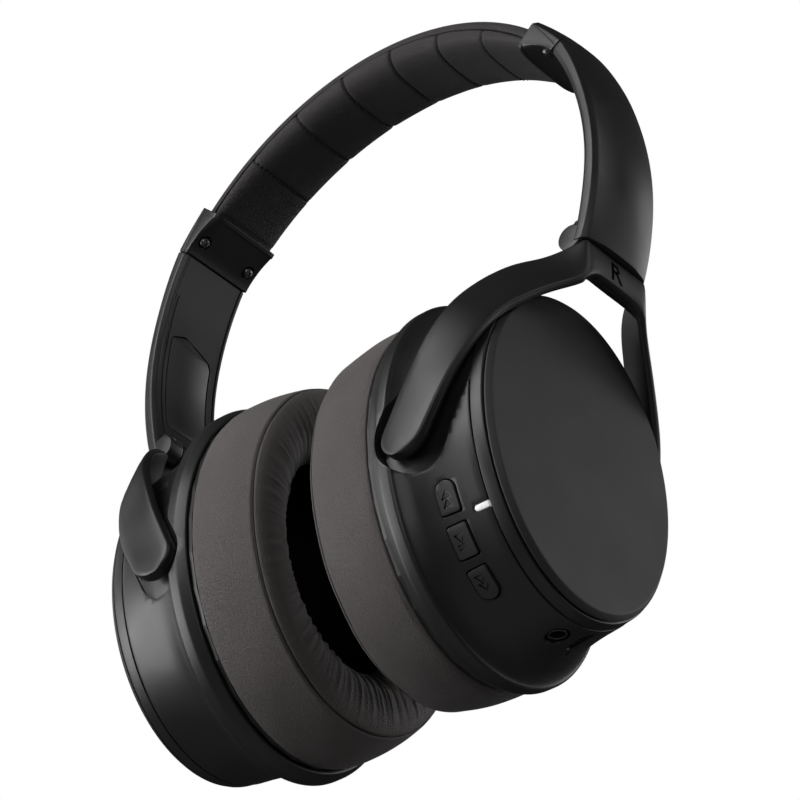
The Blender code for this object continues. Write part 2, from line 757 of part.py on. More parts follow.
# Stations of the strap from the middle of the top plate to the fork's tip. Each row holds the
# upper edge and the lower edge of its outside face (x, y, height over the cup centre) and the
# strap's thickness there. They are drawn for a fork of the size in DRAWN_FORK.
YOKE_STATIONS = (
    ((69.3, 0.0, 49.3), (69.5, 0.0, 42.0), 4.0),
    ((69.3, 7.6, 49.3), (69.5, 7.6, 42.0), 4.0),
    ((69.2, 11.2, 49.3), (69.4, 10.6, 38.0), 4.0),
    ((59.6, 14.0, 46.2), (67.3, 13.6, 36.6), 2.5),
    ((56.3, 22.4, 42.2), (64.3, 19.7, 33.1), 2.2),
    ((50.4, 30.7, 33.4), (59.6, 27.7, 25.6), 2.4),
    ((47.2, 35.4, 26.1), (57.2, 31.9, 20.0), 2.4),
    ((43.2, 37.9, 18.1), (54.1, 35.1, 12.7), 2.4),
    ((39.8, 38.7, 10.7), (51.1, 37.6, 6.0), 2.6),
    ((37.4, 39.2, 5.4), (48.6, 38.9, 0.0), 2.8),
    ((32.7, 39.3, -4.2), (43.9, 39.2, -8.4), STRAP_THICKNESS),
)
DRAWN_PIVOT = (38.2, 0.0, -6.3)
DRAWN_FORK = (26.6, 39.3, 57.7)     # from the cup's pivots to the fold pin, and half the spread
FORK = (FOLD_X - PIVOT_X, TIP_OUTER_Y, FOLD_RISE - PIVOT_RISE)


def on_fork(place):
    """A station's place, moved with the pivots and stretched with the reach between them."""
    pivot = (PIVOT_X, 0.0, PIVOT_RISE)
    rows = zip(place, DRAWN_PIVOT, DRAWN_FORK, pivot, FORK)
    return [to + (at - start) * size / drawn for at, start, drawn, to, size in rows]


def yoke_rings():
    edges = [
        (point(*on_fork(upper)), point(*on_fork(lower)), thickness * MM)
        for upper, lower, thickness in YOKE_STATIONS
    ]
    drop = point(0, 0, -CUP_DROP)
    middles = [(upper + lower) / 2 for upper, lower, _ in edges]
    rings = []
    for i, (upper, lower, thickness) in enumerate(edges):
        before = middles[max(i - 1, 0)]
        after = middles[min(i + 1, len(edges) - 1)]
        outward = (lower - upper).cross(after - before).normalized()
        inner = outward * thickness
        rings.append([corner + drop for corner in (upper, lower, lower - inner, upper - inner)])
    return rings


def yoke(side):
    """Wishbone that carries the cup: a top plate, a barrel for the fold pin and two twisted straps."""
    obj = loft(side.name("yoke"), yoke_rings(), cap_start=False)
    mirror = obj.modifiers.new("front_and_rear", "MIRROR")
    mirror.use_axis = (False, True, False)
    mirror.use_clip = True
    mirror.merge_threshold = 0.0001
    add_bevel(obj, 0.6, 1)
    barrel_length = 2 * (KNUCKLE_HALF_GAP - GAP)
    high = FOLD_RISE - CUP_DROP
    barrel = rod(
        side.name("yoke_barrel"), KNUCKLE_RADIUS, -barrel_length / 2, barrel_length / 2,
        FOLD_X, high, cutters, ROUND_SIDES,
    )
    neck = prism(side.name("yoke_neck"), [
        (FOLD_X - 1.5, high), (FOLD_X + 3.2, high), (FOLD_X + 4.0, high - 6.0), (FOLD_X + 0.6, high - 6.0),
    ], barrel_length)
    neck.rotation_euler = (math.pi / 2, 0, 0)
    join(obj, side.cutter(barrel), side.cutter(neck))
    for sign in (-1, 1):
        word = "front" if sign > 0 else "rear"
        tip = rod(
            side.name("fork_tip_" + word), TIP_RADIUS,
            sign * (TIP_OUTER_Y - STRAP_THICKNESS), sign * TIP_OUTER_Y,
            PIVOT_X, PIVOT_RISE - CUP_DROP, cutters, ROUND_SIDES,
        )
        add_bevel(tip, 0.6, 1)
        join(obj, side.cutter(tip))
        hole = rod(
            side.name("pivot_hole_" + word), PIVOT_PIN_RADIUS + RUNNING_GAP,
            sign * (TIP_OUTER_Y - 9.3), sign * (TIP_OUTER_Y - 1.2), PIVOT_X, PIVOT_RISE - CUP_DROP, cutters,
        )
        cut(obj, side.cutter(hole))
        relief = rod(
            side.name("cheek_relief_" + word), KNUCKLE_RADIUS + GAP,
            sign * (KNUCKLE_HALF_GAP - GAP), sign * (ARM_HALF_WIDTH_FOOT + 3.2), FOLD_X, high, cutters, ROUND_SIDES,
        )
        cut(obj, side.cutter(relief))
    reach = ARM_HALF_WIDTH_FOOT + 0.2
    hole = rod(side.name("barrel_hole"), FOLD_PIN_RADIUS + RUNNING_GAP, -reach, reach, FOLD_X, high, cutters)
    cut(obj, side.cutter(hole))
    return side.hang(obj, side.yoke, "shell_black")


def pivot_pin(side, sign):
    word = "front" if sign > 0 else "rear"
    obj = rod(
        side.name("cup_pivot_" + word), PIVOT_PIN_RADIUS,
        sign * (TIP_OUTER_Y - 5.9), sign * (TIP_OUTER_Y - 1.5), PIVOT_X, PIVOT_RISE - CUP_DROP,
    )
    return side.hang(obj, side.yoke, "steel")


# ---- cup ----------------------------------------------------------------------------------------

# Outside of the cup wall, as (height over the flange plane, radius along Z).
WALL_OUTSIDE = (
    (FLANGE_THICKNESS, FLANGE_RADIUS - 0.5),
    (FLANGE_THICKNESS + 1.0, FLANGE_RADIUS - 1.7),
    (9.0, FLANGE_RADIUS - 3.8),
    (14.0, FLANGE_RADIUS - 5.4),
    (19.0, FLANGE_RADIUS - 6.3),
    (WALL_TOP_U - 0.4, WALL_TOP_RADIUS),
)
WALL_THICKNESS = 2.3
INNER_EDGE_RADIUS = WALL_TOP_RADIUS - 3.5
REBATE_DEPTH = 2.1
REBATE_RADIUS = FLANGE_RADIUS - 2.2


def from_flange(profile):
    return [(FLANGE_X + u, radius) for u, radius in profile]


def cup_housing(side):
    profile = [(0.0, FLANGE_RADIUS - 0.6), (0.6, FLANGE_RADIUS), (FLANGE_THICKNESS - 0.6, FLANGE_RADIUS)]
    profile += list(WALL_OUTSIDE)
    profile += [
        (WALL_TOP_U, WALL_TOP_RADIUS - 0.4),
        (WALL_TOP_U, INNER_EDGE_RADIUS),
        (WALL_TOP_U - 1.6, INNER_EDGE_RADIUS),
        (WALL_TOP_U - 1.6, WALL_TOP_RADIUS - WALL_THICKNESS - 0.2),
        (12.0, FLANGE_RADIUS - 7.4),
        (REBATE_DEPTH, FLANGE_RADIUS - 6.6),
        (REBATE_DEPTH, REBATE_RADIUS),
        (0.0, REBATE_RADIUS),
    ]
    obj = turned(side.name("cup_housing"), from_flange(profile))
    for sign in (-1, 1):
        cut(obj, fork_pocket(side, sign))
        word = "front" if sign > 0 else "rear"
        hole = rod(
            side.name("wall_pivot_hole_" + word), PIVOT_PIN_RADIUS + RUNNING_GAP,
            sign * (TIP_OUTER_Y - 11.3), sign * (TIP_OUTER_Y + 2.7), PIVOT_X, PIVOT_RISE - CUP_DROP, cutters,
        )
        cut(obj, side.cutter(hole))
    if side.letter == "R":
        cut(obj, *control_openings(side))
    return side.hang(obj, side.cup, "shell_black")


POCKET_DEPTH = 1.1
POCKET_SPARE = 2.3          # round the strap, so that the cup can tilt


def fork_pocket(side, sign):
    """The recess in the wall that a strap's end lies in, with a floor that follows the wall."""
    word = "front" if sign > 0 else "rear"
    above, tip = on_fork(YOKE_STATIONS[-2][0]), on_fork(YOKE_STATIONS[-1][0])
    lean = math.degrees(math.atan2(above[0] - tip[0], above[2] - tip[2]))
    width = 2 * (TIP_RADIUS + POCKET_SPARE)
    length = 62.0
    outline = stadium(length, width, True, False, 0.5, 8)
    shape = prism(side.name("pocket_" + word), outline, 20)
    turn = Matrix.Rotation(math.radians(lean), 3, "Y")
    middle = turn @ point(0, 0, length / 2 - TIP_RADIUS - POCKET_SPARE)
    shape.rotation_euler = (turn @ Matrix.Rotation(math.pi / 2, 3, "X")).to_euler()
    shape.location = point(PIVOT_X, sign * (TIP_OUTER_Y + 0.7), PIVOT_RISE - CUP_DROP) + middle
    wall = [(u, radius - POCKET_DEPTH) for u, radius in WALL_OUTSIDE[3:5]]
    core = turned(side.name("pocket_core_" + word), from_flange([
        (-2.0, 0.0), (-2.0, FLANGE_RADIUS - 4.4), (9.4, FLANGE_RADIUS - 4.6), *wall,
        (32.0, WALL_TOP_RADIUS - POCKET_DEPTH - 0.4), (32.0, 0.0),
    ]), cutters)
    cut(shape, side.cutter(core))
    return side.cutter(shape)


def trim_ring(side):
    profile = [
        (WALL_TOP_U + GAP, WALL_TOP_RADIUS - 0.2),
        (RING_TOP_U - 0.3, RING_TOP_RADIUS),
        (RING_TOP_U, RING_TOP_RADIUS - 0.3),
        (RING_TOP_U, RING_TOP_RADIUS - RIM_WIDTH),
        (WALL_TOP_U + GAP, RING_TOP_RADIUS - RIM_WIDTH),
    ]
    return side.hang(turned(side.name("trim_ring"), from_flange(profile)), side.cup, "shell_black")


def cup_cover(side):
    low = RING_TOP_U + GAP
    skirt = RING_TOP_RADIUS - RIM_WIDTH - GAP
    profile = [
        (FACE_U, 0.0),
        (FACE_U, FACE_RADIUS),
        (low + 0.35, RING_TOP_RADIUS - 0.1),
        (low, RING_TOP_RADIUS - 0.3),
        (low, skirt),
        (WALL_TOP_U + 2 * GAP, skirt),
        (WALL_TOP_U + 2 * GAP, skirt - 1.7),
        (FACE_U - FACE_THICKNESS, skirt - 1.7),
        (FACE_U - FACE_THICKNESS, 0.0),
    ]
    return side.hang(turned(side.name("cup_cover"), from_flange(profile)), side.cup, "cover_black")


def baffle(side):
    low = REBATE_DEPTH - GAP - BAFFLE_THICKNESS
    profile = [
        (low, 0.0),
        (low, REBATE_RADIUS - GAP),
        (low + BAFFLE_THICKNESS, REBATE_RADIUS - GAP),
        (low + BAFFLE_THICKNESS, 0.0),
    ]
    obj = turned(side.name("baffle"), from_flange(profile))
    seat = DRIVER_RADIUS - 1.0
    hole_profile = from_flange([(-4.0, 0.0), (-4.0, seat), (6.0, seat), (6.0, 0.0)])
    hole = turned(side.name("driver_hole"), hole_profile, cutters, 1.0)
    cut(obj, side.cutter(hole))
    return side.hang(obj, side.cup, "shell_black")


def driver(side):
    """The loudspeaker: a rim behind the baffle, a basket and a magnet."""
    rim = REBATE_DEPTH
    profile = [
        (rim, 0.0),
        (rim, DRIVER_RADIUS),
        (rim + 2.0, DRIVER_RADIUS),
        (rim + 4.5, 15.0),
        (rim + 6.0, 12.0),
        (rim + 9.0, 12.0),
        (rim + 9.5, 11.5),
        (rim + 9.5, 0.0),
    ]
    return side.hang(turned(side.name("driver"), from_flange(profile), parts, 1.0), side.cup, "steel")


def speaker_cloth(side):
    thick = 0.7
    low = -GAP - 0.1 - thick
    radius = PAD_OUTER_RADIUS - PAD_SEAT_WIDTH - 0.4
    profile = [(low, 0.0), (low, radius), (low + thick, radius), (low + thick, 0.0)]
    return side.hang(turned(side.name("speaker_cloth"), from_flange(profile)), side.cup, "cloth_black")


def pad_plate(side):
    low = -GAP - PAD_PLATE_THICKNESS
    hole = PAD_OUTER_RADIUS - PAD_SEAT_WIDTH
    profile = [(low, hole), (low, PAD_OUTER_RADIUS - 0.5), (-GAP, PAD_OUTER_RADIUS - 0.5), (-GAP, hole)]
    return side.hang(turned(side.name("pad_plate"), from_flange(profile)), side.cup, "shell_black")


PAD_BASE_U = 2 * GAP + PAD_PLATE_THICKNESS


def ear_pad(side):
    """Ring cushion: bulged outer wall, sewn seam, crowned face and a wall drawn in to the opening."""
    hole = PAD_HOLE_RADIUS
    profile = [
        (-PAD_BASE_U, PAD_OUTER_RADIUS - 0.5),
        (-PAD_BASE_U - 1.5, PAD_OUTER_RADIUS),
        (-8.0, PAD_OUTER_RADIUS - 0.1),
        (-14.0, PAD_OUTER_RADIUS - 0.8),
        (-PAD_SEAM_U + 0.6, PAD_SEAM_RADIUS + 0.2),
        (-PAD_SEAM_U, PAD_SEAM_RADIUS - 0.6),
        (-PAD_SEAM_U - 0.7, PAD_SEAM_RADIUS - 0.6),
        (-PAD_HEIGHT + 0.5, PAD_SEAM_RADIUS - 3.4),
        (-PAD_HEIGHT, hole + 9.5),
        (-PAD_HEIGHT + 0.3, hole + 6.0),
        (-PAD_HEIGHT + 1.8, hole + 2.5),
        (-PAD_HEIGHT + 4.5, hole + 0.3),
        (-PAD_HEIGHT + 8.5, hole),
        (-8.0, hole + 1.8),
        (-3.5, hole + 5.0),
        (-PAD_BASE_U, hole + 7.5),
    ]
    obj = turned(side.name("ear_pad"), from_flange(profile))
    return side.hang(obj, side.cup, "pad_leather")


# ---- controls and sockets in the right cup ------------------------------------------------------


def wall_place(degrees, u, lift=0.0):
    """A point on the cup wall by its angle below the rear, and the turn about X that faces it out."""
    radius = interpolate(WALL_OUTSIDE, u)
    angle = math.radians(degrees)
    spot = point(FLANGE_X + u, -CUP_ASPECT * radius * math.cos(angle), radius * math.sin(angle) - CUP_DROP)
    normal = Vector((0, -math.cos(angle) / CUP_ASPECT, math.sin(angle))).normalized()
    return spot + normal * lift * MM, math.atan2(-normal.y, normal.z), normal


def wall_prism(side, name, outline, degrees, u, depth, lift=0.0, collection=cutters):
    obj = prism(side.name(name), outline, depth, collection)
    obj.location, turn, _ = wall_place(degrees, u, lift)
    obj.rotation_euler = (turn, 0, 0)
    return obj


def key_outline(index, spare):
    ends = ((False, True), (False, False), (True, False))[index]
    return stadium(KEY_LENGTH + 2 * spare, KEY_WIDTH + 2 * spare, *ends)


def control_openings(side):
    """Cutters for the three keys, the light, the jack and the charging socket."""
    found = []
    for index, degrees in enumerate(KEY_DEGS):
        found.append(wall_prism(side, f"key_slot_{index + 1}", key_outline(index, GAP), degrees, KEY_U, 12))
    light = crosswise(stadium(LIGHT_LENGTH + 2 * SNUG, LIGHT_WIDTH + 2 * SNUG, True, True))
    found.append(wall_prism(side, "light_slot", light, LIGHT_DEG, LIGHT_U, 12))
    jack = circle_outline(JACK_HOLE_RADIUS, 20)
    found.append(wall_prism(side, "jack_hole", jack, JACK_DEG, JACK_U, 12))
    usb = crosswise(stadium(USB_LENGTH + 2 * SNUG, USB_WIDTH + 2 * SNUG, True, True))
    found.append(wall_prism(side, "usb_hole", usb, USB_DEG, USB_U, 12))
    mic = crosswise(stadium(MIC_LENGTH, MIC_WIDTH, True, True, steps=2))
    found.append(wall_prism(side, "mic_slot", mic, MIC_DEG, MIC_U, 12))
    return [side.cutter(one) for one in found]


def crosswise(outline):
    return [(y, -x) for x, y in outline]


def circle_outline(radius, sides):
    angles = [2 * math.pi * i / sides for i in range(sides)]
    return [(radius * math.cos(angle), radius * math.sin(angle)) for angle in angles]


def key(side, index):
    """A key cap: a slice of a shell just proud of the wall, with a stem behind it."""
    profile = [(u, radius + KEY_PROUD) for u, radius in WALL_OUTSIDE[2:5]]
    profile += [(u, radius - KEY_DEPTH) for u, radius in reversed(WALL_OUTSIDE[2:5])]
    word = ("key_back", "key_play", "key_next")[index]
    obj = turned(side.name(word), from_flange(profile))
    shape = wall_prism(side, word + "_outline", key_outline(index, 0.0), KEY_DEGS[index], KEY_U, 12)
    keep_inside(obj, side.cutter(shape))
    return side.hang(obj, side.cup, "cover_black")


def key_board(side):
    """A curved switch board behind the keys, following the inside of the wall."""
    outside = WALL_OUTSIDE[4][1] - KEY_DEPTH - GAP - KEY_PROUD
    low, high = KEY_U - 4.2, KEY_U + 4.3
    profile = [(low, outside), (high, outside), (high, outside - 1.2), (low, outside - 1.2)]
    obj = turned(side.name("key_board"), from_flange(profile))
    middle = KEY_DEGS[1]
    outline = [(-6, -20), (6, -20), (6, 20), (-6, 20)]
    shape = wall_prism(side, "key_board_outline", outline, middle, KEY_U, 40)
    keep_inside(obj, side.cutter(shape))
    return side.hang(obj, side.cup, "circuit_green")


def status_light(side):
    outline = crosswise(stadium(LIGHT_LENGTH, LIGHT_WIDTH, True, True))
    obj = wall_prism(side, "status_light", outline, LIGHT_DEG, LIGHT_U, LIGHT_DEPTH, -LIGHT_DEPTH / 2, parts)
    return side.hang(obj, side.cup, "light_white")


def jack_socket(side):
    """Audio jack: a barrel with a blind bore, sunk in its hole in the wall."""
    lift = -JACK_SUNK - JACK_LENGTH / 2
    outline = circle_outline(JACK_RADIUS, 20)
    obj = wall_prism(side, "jack_socket", outline, JACK_DEG, JACK_U, JACK_LENGTH, lift, parts)
    bore = circle_outline(JACK_BORE_RADIUS, 20)
    cut(obj, side.cutter(wall_prism(side, "jack_bore", bore, JACK_DEG, JACK_U, 2 * (JACK_LENGTH - 2.0))))
    return side.hang(obj, side.cup, "dark_steel")


def charging_socket(side):
    """Charging socket: a flat steel shell with a blind slot."""
    outline = crosswise(stadium(USB_LENGTH, USB_WIDTH, True, True))
    lift = -USB_SUNK - USB_DEPTH / 2
    obj = wall_prism(side, "charging_socket", outline, USB_DEG, USB_U, USB_DEPTH, lift, parts)
    wall = 0.35
    hollow = crosswise(stadium(USB_LENGTH - 2 * wall, USB_WIDTH - 2 * wall, True, True))
    cut(obj, side.cutter(wall_prism(side, "charging_slot", hollow, USB_DEG, USB_U, 2 * (USB_DEPTH - 1.0))))
    return side.hang(obj, side.cup, "steel")


def box_outline(width, height):
    x, y = width / 2, height / 2
    return [(-x, -y), (x, -y), (x, y), (-x, y)]


def flat_piece(side, word, width, height, thickness, u, y, rise, finish):
    """A flat rectangular piece lying parallel to the cup's face."""
    obj = prism(side.name(word), box_outline(height, width), thickness, parts)
    obj.rotation_euler = (0, math.pi / 2, 0)
    obj.location = point(FLANGE_X + u + thickness / 2, y, rise - CUP_DROP)
    return side.hang(obj, side.cup, finish)


DRIVER_BACK_U = REBATE_DEPTH + 9.5


def circuit_board(side):
    return flat_piece(side, "circuit_board", 40.0, 40.0, 1.2, DRIVER_BACK_U + GAP, 0, 0, "circuit_green")


def battery(side):
    return flat_piece(side, "battery", 30.0, 38.0, 5.5, DRIVER_BACK_U + GAP, 0, 0, "cell_grey")


# ---- assembly -----------------------------------------------------------------------------------


def finish_root(obj, finish):
    obj.data.materials.append(material(finish))
    obj.data.shade_smooth()
    obj.data.set_sharp_from_angle(angle=math.radians(35))


def build_headband():
    finish_root(headband_cover(), "shell_black")
    finish_root(headband_spring(), "steel")
    finish_root(headband_board(), "board_fibre")
    finish_root(headband_cushion(), "band_leather")


def build_side(letter):
    side = Side(letter)
    cap_outer(side)
    cap_inner(side)
    slider_tongue(side)
    arm_shell(side)
    arm_panel(side)
    arm_insert(side)
    fold_pin(side)
    yoke(side)
    for sign in (-1, 1):
        cap_screw(side, sign * SCREW_OFFSET)
        pivot_pin(side, sign)
    for make in (cup_housing, trim_ring, cup_cover, baffle, driver, speaker_cloth, pad_plate, ear_pad):
        make(side)
    if letter == "R":
        for index in range(len(KEY_DEGS)):
            key(side, index)
        for make in (key_board, status_light, jack_socket, charging_socket, circuit_board):
            make(side)
    else:
        battery(side)


def main():
    clear_scene()
    build_headband()
    for letter in "RL":
        build_side(letter)
    for obj in cutters.objects:
        obj.hide_render = True
        obj.display_type = "WIRE"


main()
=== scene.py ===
import json
import math

import bpy
from mathutils import Euler, Matrix, Vector, noise

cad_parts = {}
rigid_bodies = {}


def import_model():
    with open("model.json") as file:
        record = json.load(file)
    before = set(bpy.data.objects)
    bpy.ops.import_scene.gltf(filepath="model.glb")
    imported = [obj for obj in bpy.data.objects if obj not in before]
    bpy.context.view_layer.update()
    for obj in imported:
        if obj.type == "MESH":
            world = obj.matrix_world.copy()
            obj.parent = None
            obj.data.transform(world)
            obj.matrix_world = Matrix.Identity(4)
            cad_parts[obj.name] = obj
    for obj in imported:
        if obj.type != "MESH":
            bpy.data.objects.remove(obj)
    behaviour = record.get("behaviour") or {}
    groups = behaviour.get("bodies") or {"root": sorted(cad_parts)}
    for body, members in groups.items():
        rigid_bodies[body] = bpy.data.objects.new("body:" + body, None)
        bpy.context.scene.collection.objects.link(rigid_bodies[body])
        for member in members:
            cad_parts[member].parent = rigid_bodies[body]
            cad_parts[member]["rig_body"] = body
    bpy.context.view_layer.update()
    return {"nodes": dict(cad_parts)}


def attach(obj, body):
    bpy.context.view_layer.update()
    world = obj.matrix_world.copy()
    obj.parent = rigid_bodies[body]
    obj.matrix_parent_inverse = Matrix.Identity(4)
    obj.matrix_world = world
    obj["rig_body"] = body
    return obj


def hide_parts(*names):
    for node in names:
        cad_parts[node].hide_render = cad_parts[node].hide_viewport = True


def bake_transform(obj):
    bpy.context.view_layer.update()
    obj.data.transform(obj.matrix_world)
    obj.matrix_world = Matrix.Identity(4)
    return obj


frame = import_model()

MM = 0.001
TO_THE_LEFT = Matrix.Scale(-1, 4, (1, 0, 0))
LAID_ON_Y = Matrix.Rotation(math.pi / 2, 4, "X")

# ---- sizes shared with the frame, in millimetres ----

BAND_Z = -66.0              # centre of the headband's arcs
BAND_RADIUS = 75.0
BAND_HALF_WIDTH = 10.3
BAND_END_DEG = 44.3
BAND_SEAT_DEG = 43.85       # where the leather meets the end cap
CAP_MOUTH_DEG = 43.8
CAP_FOOT_DEG = 33.9
CAP_RADIUS = 77.0
CAP_HALF_WIDTH = 11.3
CROWN = 1.3                 # how far the arm's and the cap's outer face swells
SLIDE_CENTRE = (-14.0, -64.3)
TONGUE_IN = 85.35
TONGUE_OUT = 86.35
SCREW_DEG = 37.5
SCREW_OFFSET = 8.2
CUP_Z = -137.3
ASPECT = 0.8                # the cup's width front to back against its height
FLANGE_X = 28.0
PARTING_Z = 49.6 + CUP_Z    # line between arm and yoke
FOLD_X = 64.8
FOLD_Z = 51.4 + CUP_Z
KNUCKLE_RADIUS = 3.4
PIVOT_X = 38.2
PIVOT_Z = -6.3 + CUP_Z
GAP = 0.3
KEY_DEGS = (-29.8, -44.4, -60.0)
KEY_U = 15.7
KEY_LENGTH = 7.6
KEY_WIDTH = 4.6
ARM_EDGE_OUT = ((33.9, 77.0), (18.0, 74.4), (0.0, 73.1), (-17.5, 72.6))
ARM_EDGE_IN = ((33.9, 72.4), (18.0, 70.4), (4.6, 69.2), (-6.6, 68.4), (-17.5, 68.4))
WALL = ((5.4, 48.5), (6.4, 47.3), (9.0, 45.2), (14.0, 43.6), (19.0, 42.7), (24.3, 42.1))


# ---- modelling tools ----


def start_fresh():
    if bpy.context.mode != "OBJECT":
        bpy.ops.object.mode_set(mode="OBJECT")
    bpy.ops.object.select_all(action="DESELECT")


def named(name):
    obj = bpy.context.object
    obj.name = name
    obj.data.name = name
    return obj


def only(obj):
    start_fresh()
    obj.select_set(True)
    bpy.context.view_layer.objects.active = obj
    return obj


def edit(obj):
    only(obj)
    bpy.ops.object.mode_set(mode="EDIT")
    bpy.ops.mesh.select_all(action="SELECT")


def done(obj=None):
    bpy.ops.object.mode_set(mode="OBJECT")
    return obj


def sew(obj, fill=False):
    """Merges the seams, closes what is open and turns the faces outwards."""
    edit(obj)
    bpy.ops.mesh.remove_doubles(threshold=0.000002)
    if fill:
        bpy.ops.mesh.fill_holes(sides=0)
    bpy.ops.mesh.normals_make_consistent(inside=False)
    return done(obj)


def soften(obj, degrees=32):
    only(obj)
    bpy.ops.object.shade_smooth_by_angle(angle=math.radians(degrees))
    return obj


def apply(obj, modifier):
    only(obj)
    bpy.ops.object.modifier_apply(modifier=modifier.name)
    return obj


def bevelled(obj, width, segments=3, degrees=40):
    bevel = obj.modifiers.new("edges", "BEVEL")
    bevel.width = width * MM
    bevel.segments = segments
    bevel.limit_method = "ANGLE"
    bevel.angle_limit = math.radians(degrees)
    bevel.use_clamp_overlap = False
    bevel.miter_outer = "MITER_ARC"
    return apply(obj, bevel)


def combine(obj, tool, operation):
    change = obj.modifiers.new(operation, "BOOLEAN")
    change.operation = operation
    change.object = tool
    change.solver = "MANIFOLD"
    apply(obj, change)
    bpy.data.objects.remove(tool, do_unlink=True)
    return obj


def cut(obj, *tools):
    for tool in tools:
        combine(obj, tool, "DIFFERENCE")
    return obj


def add(obj, *tools):
    for tool in tools:
        combine(obj, tool, "UNION")
    return obj


def keep(obj, tool):
    return combine(obj, tool, "INTERSECT")


def curve_through(points, per_span, closed=False):
    """Points of a smooth curve through the given ones."""
    count = len(points)
    rows = [Vector(p) for p in points]
    out = []
    for i in range(count if closed else count - 1):
        if closed:
            a, b, c, d = (rows[(i + k - 1) % count] for k in range(4))
        else:
            b, c = rows[i], rows[i + 1]
            a = rows[i - 1] if i else 2 * b - c
            d = rows[i + 2] if i + 2 < count else 2 * c - b
        for k in range(per_span):
            t = k / per_span
            out.append(0.5 * (2 * b + (c - a) * t + (2 * a - 5 * b + 4 * c - d) * t * t
                              + (3 * b - a - 3 * c + d) * t ** 3))
    return out if closed else out + [rows[-1]]


def value_at(table, at):
    """Smooth value of a table of (place, value) at a place."""
    rows = sorted(table)
    if at <= rows[0][0]:
        return rows[0][1]
    if at >= rows[-1][0]:
        return rows[-1][1]
    index = min(max(i for i, row in enumerate(rows) if row[0] <= at), len(rows) - 2)
    (x1, y1), (x2, y2) = rows[index], rows[index + 1]
    x0, y0 = rows[index - 1] if index else (2 * x1 - x2, 2 * y1 - y2)
    x3, y3 = rows[index + 2] if index + 2 < len(rows) else (2 * x2 - x1, 2 * y2 - y1)
    span = x2 - x1
    t = (at - x1) / span
    slope1, slope2 = (y2 - y0) / (x2 - x0) * span, (y3 - y1) / (x3 - x1) * span
    return ((2 * t ** 3 - 3 * t * t + 1) * y1 + (t ** 3 - 2 * t * t + t) * slope1
            + (3 * t * t - 2 * t ** 3) * y2 + (t ** 3 - t * t) * slope2)


def rounded(corners, steps=3):
    """Outline through (x, y, reach) corners, each eased over its reach to both sides."""
    outline = []
    for i, (x, y, reach) in enumerate(corners):
        here = Vector((x, y))
        if reach <= 0:
            outline.append((x, y))
            continue
        back = Vector(corners[i - 1][:2]) - here
        ahead = Vector(corners[(i + 1) % len(corners)][:2]) - here
        start = here + back.normalized() * min(reach, back.length * 0.48)
        end = here + ahead.normalized() * min(reach, ahead.length * 0.48)
        for k in range(steps + 1):
            t = k / steps
            spot = start * (1 - t) ** 2 + here * 2 * t * (1 - t) + end * t * t
            outline.append((spot.x, spot.y))
    return outline


def both_halves(half):
    """Corners given for one side, with their mirror image."""
    return half + [(-y, r, k) for y, r, k in reversed(half) if y > 0]


def polar(radius, degrees, y=0.0, centre=(0.0, BAND_Z)):
    angle = math.radians(degrees)
    return Vector((centre[0] + radius * math.cos(angle), y, centre[1] + radius * math.sin(angle)))


def shift(x, y, z):
    return Matrix.Translation(Vector((x, y, z)) * MM)


def spaced(start, end, count):
    return [start + (end - start) * i / (count - 1) for i in range(count)]


def skin(name, rings, loop=False):
    """A grid wrapped through rings of points, sewn to a tube, with its ends filled or joined."""
    start_fresh()
    around, along = len(rings[0]), len(rings) - (0 if loop else 1)
    bpy.ops.mesh.primitive_grid_add(x_subdivisions=around, y_subdivisions=along, size=1)
    obj = named(name)
    for vertex in obj.data.vertices:
        i = round((vertex.co.x + 0.5) * around) % around
        j = round((vertex.co.y + 0.5) * along) % len(rings)
        vertex.co = Vector(rings[j][i]) * MM
    return sew(obj, fill=not loop)


def turned(name, profile, aspect=ASPECT, steps=160, centre=CUP_Z):
    """Draws a profile of (height over the flange plane, radius) and spins it about the cup's axis."""
    start_fresh()
    bpy.ops.mesh.primitive_plane_add(size=MM)
    obj = named(name)
    edit(obj)
    bpy.ops.mesh.merge(type="CENTER")
    places = [Vector((FLANGE_X + u, 0, centre + r)) * MM for u, r in profile]
    if profile[0][1] > 0:
        places.append(places[0])
    bpy.ops.transform.translate(value=places[0])
    for near, far in zip(places, places[1:]):
        bpy.ops.mesh.extrude_vertices_move(TRANSFORM_OT_translate={"value": far - near})
    bpy.ops.mesh.select_all(action="SELECT")
    middle = (0, 0, centre * MM)
    bpy.ops.mesh.spin(steps=steps, angle=2 * math.pi, center=middle, axis=(1, 0, 0))
    bpy.ops.mesh.select_all(action="SELECT")
    bpy.ops.transform.resize(value=(1, aspect, 1), center_override=middle)
    done()
    return sew(obj)


def prism(name, outline, low, high, place=Matrix()):
    """A flat outline in local XY, extruded from low to high along local Z, at a place in the frame."""
    start_fresh()
    bpy.ops.mesh.primitive_circle_add(vertices=len(outline), radius=1, fill_type="NGON")
    obj = named(name)
    for vertex, (x, y) in zip(obj.data.vertices, outline):
        vertex.co = Vector((x, y, low)) * MM
    edit(obj)
    bpy.ops.mesh.extrude_region_move(TRANSFORM_OT_translate={"value": (0, 0, (high - low) * MM)})
    done()
    obj.data.transform(place)
    return sew(obj)


def rod(name, radius, y_start, y_end, x, z, sides=48, edge=0.0):
    start_fresh()
    bpy.ops.mesh.primitive_cylinder_add(
        vertices=sides, radius=radius * MM, depth=abs(y_end - y_start) * MM,
        location=Vector((x, (y_start + y_end) / 2, z)) * MM, rotation=(math.pi / 2, 0, 0))
    obj = named(name)
    bpy.ops.object.transform_apply(location=True, rotation=True, scale=True)
    return bevelled(obj, edge) if edge else obj


def linked(obj):
    bpy.context.scene.collection.objects.link(obj)
    return obj


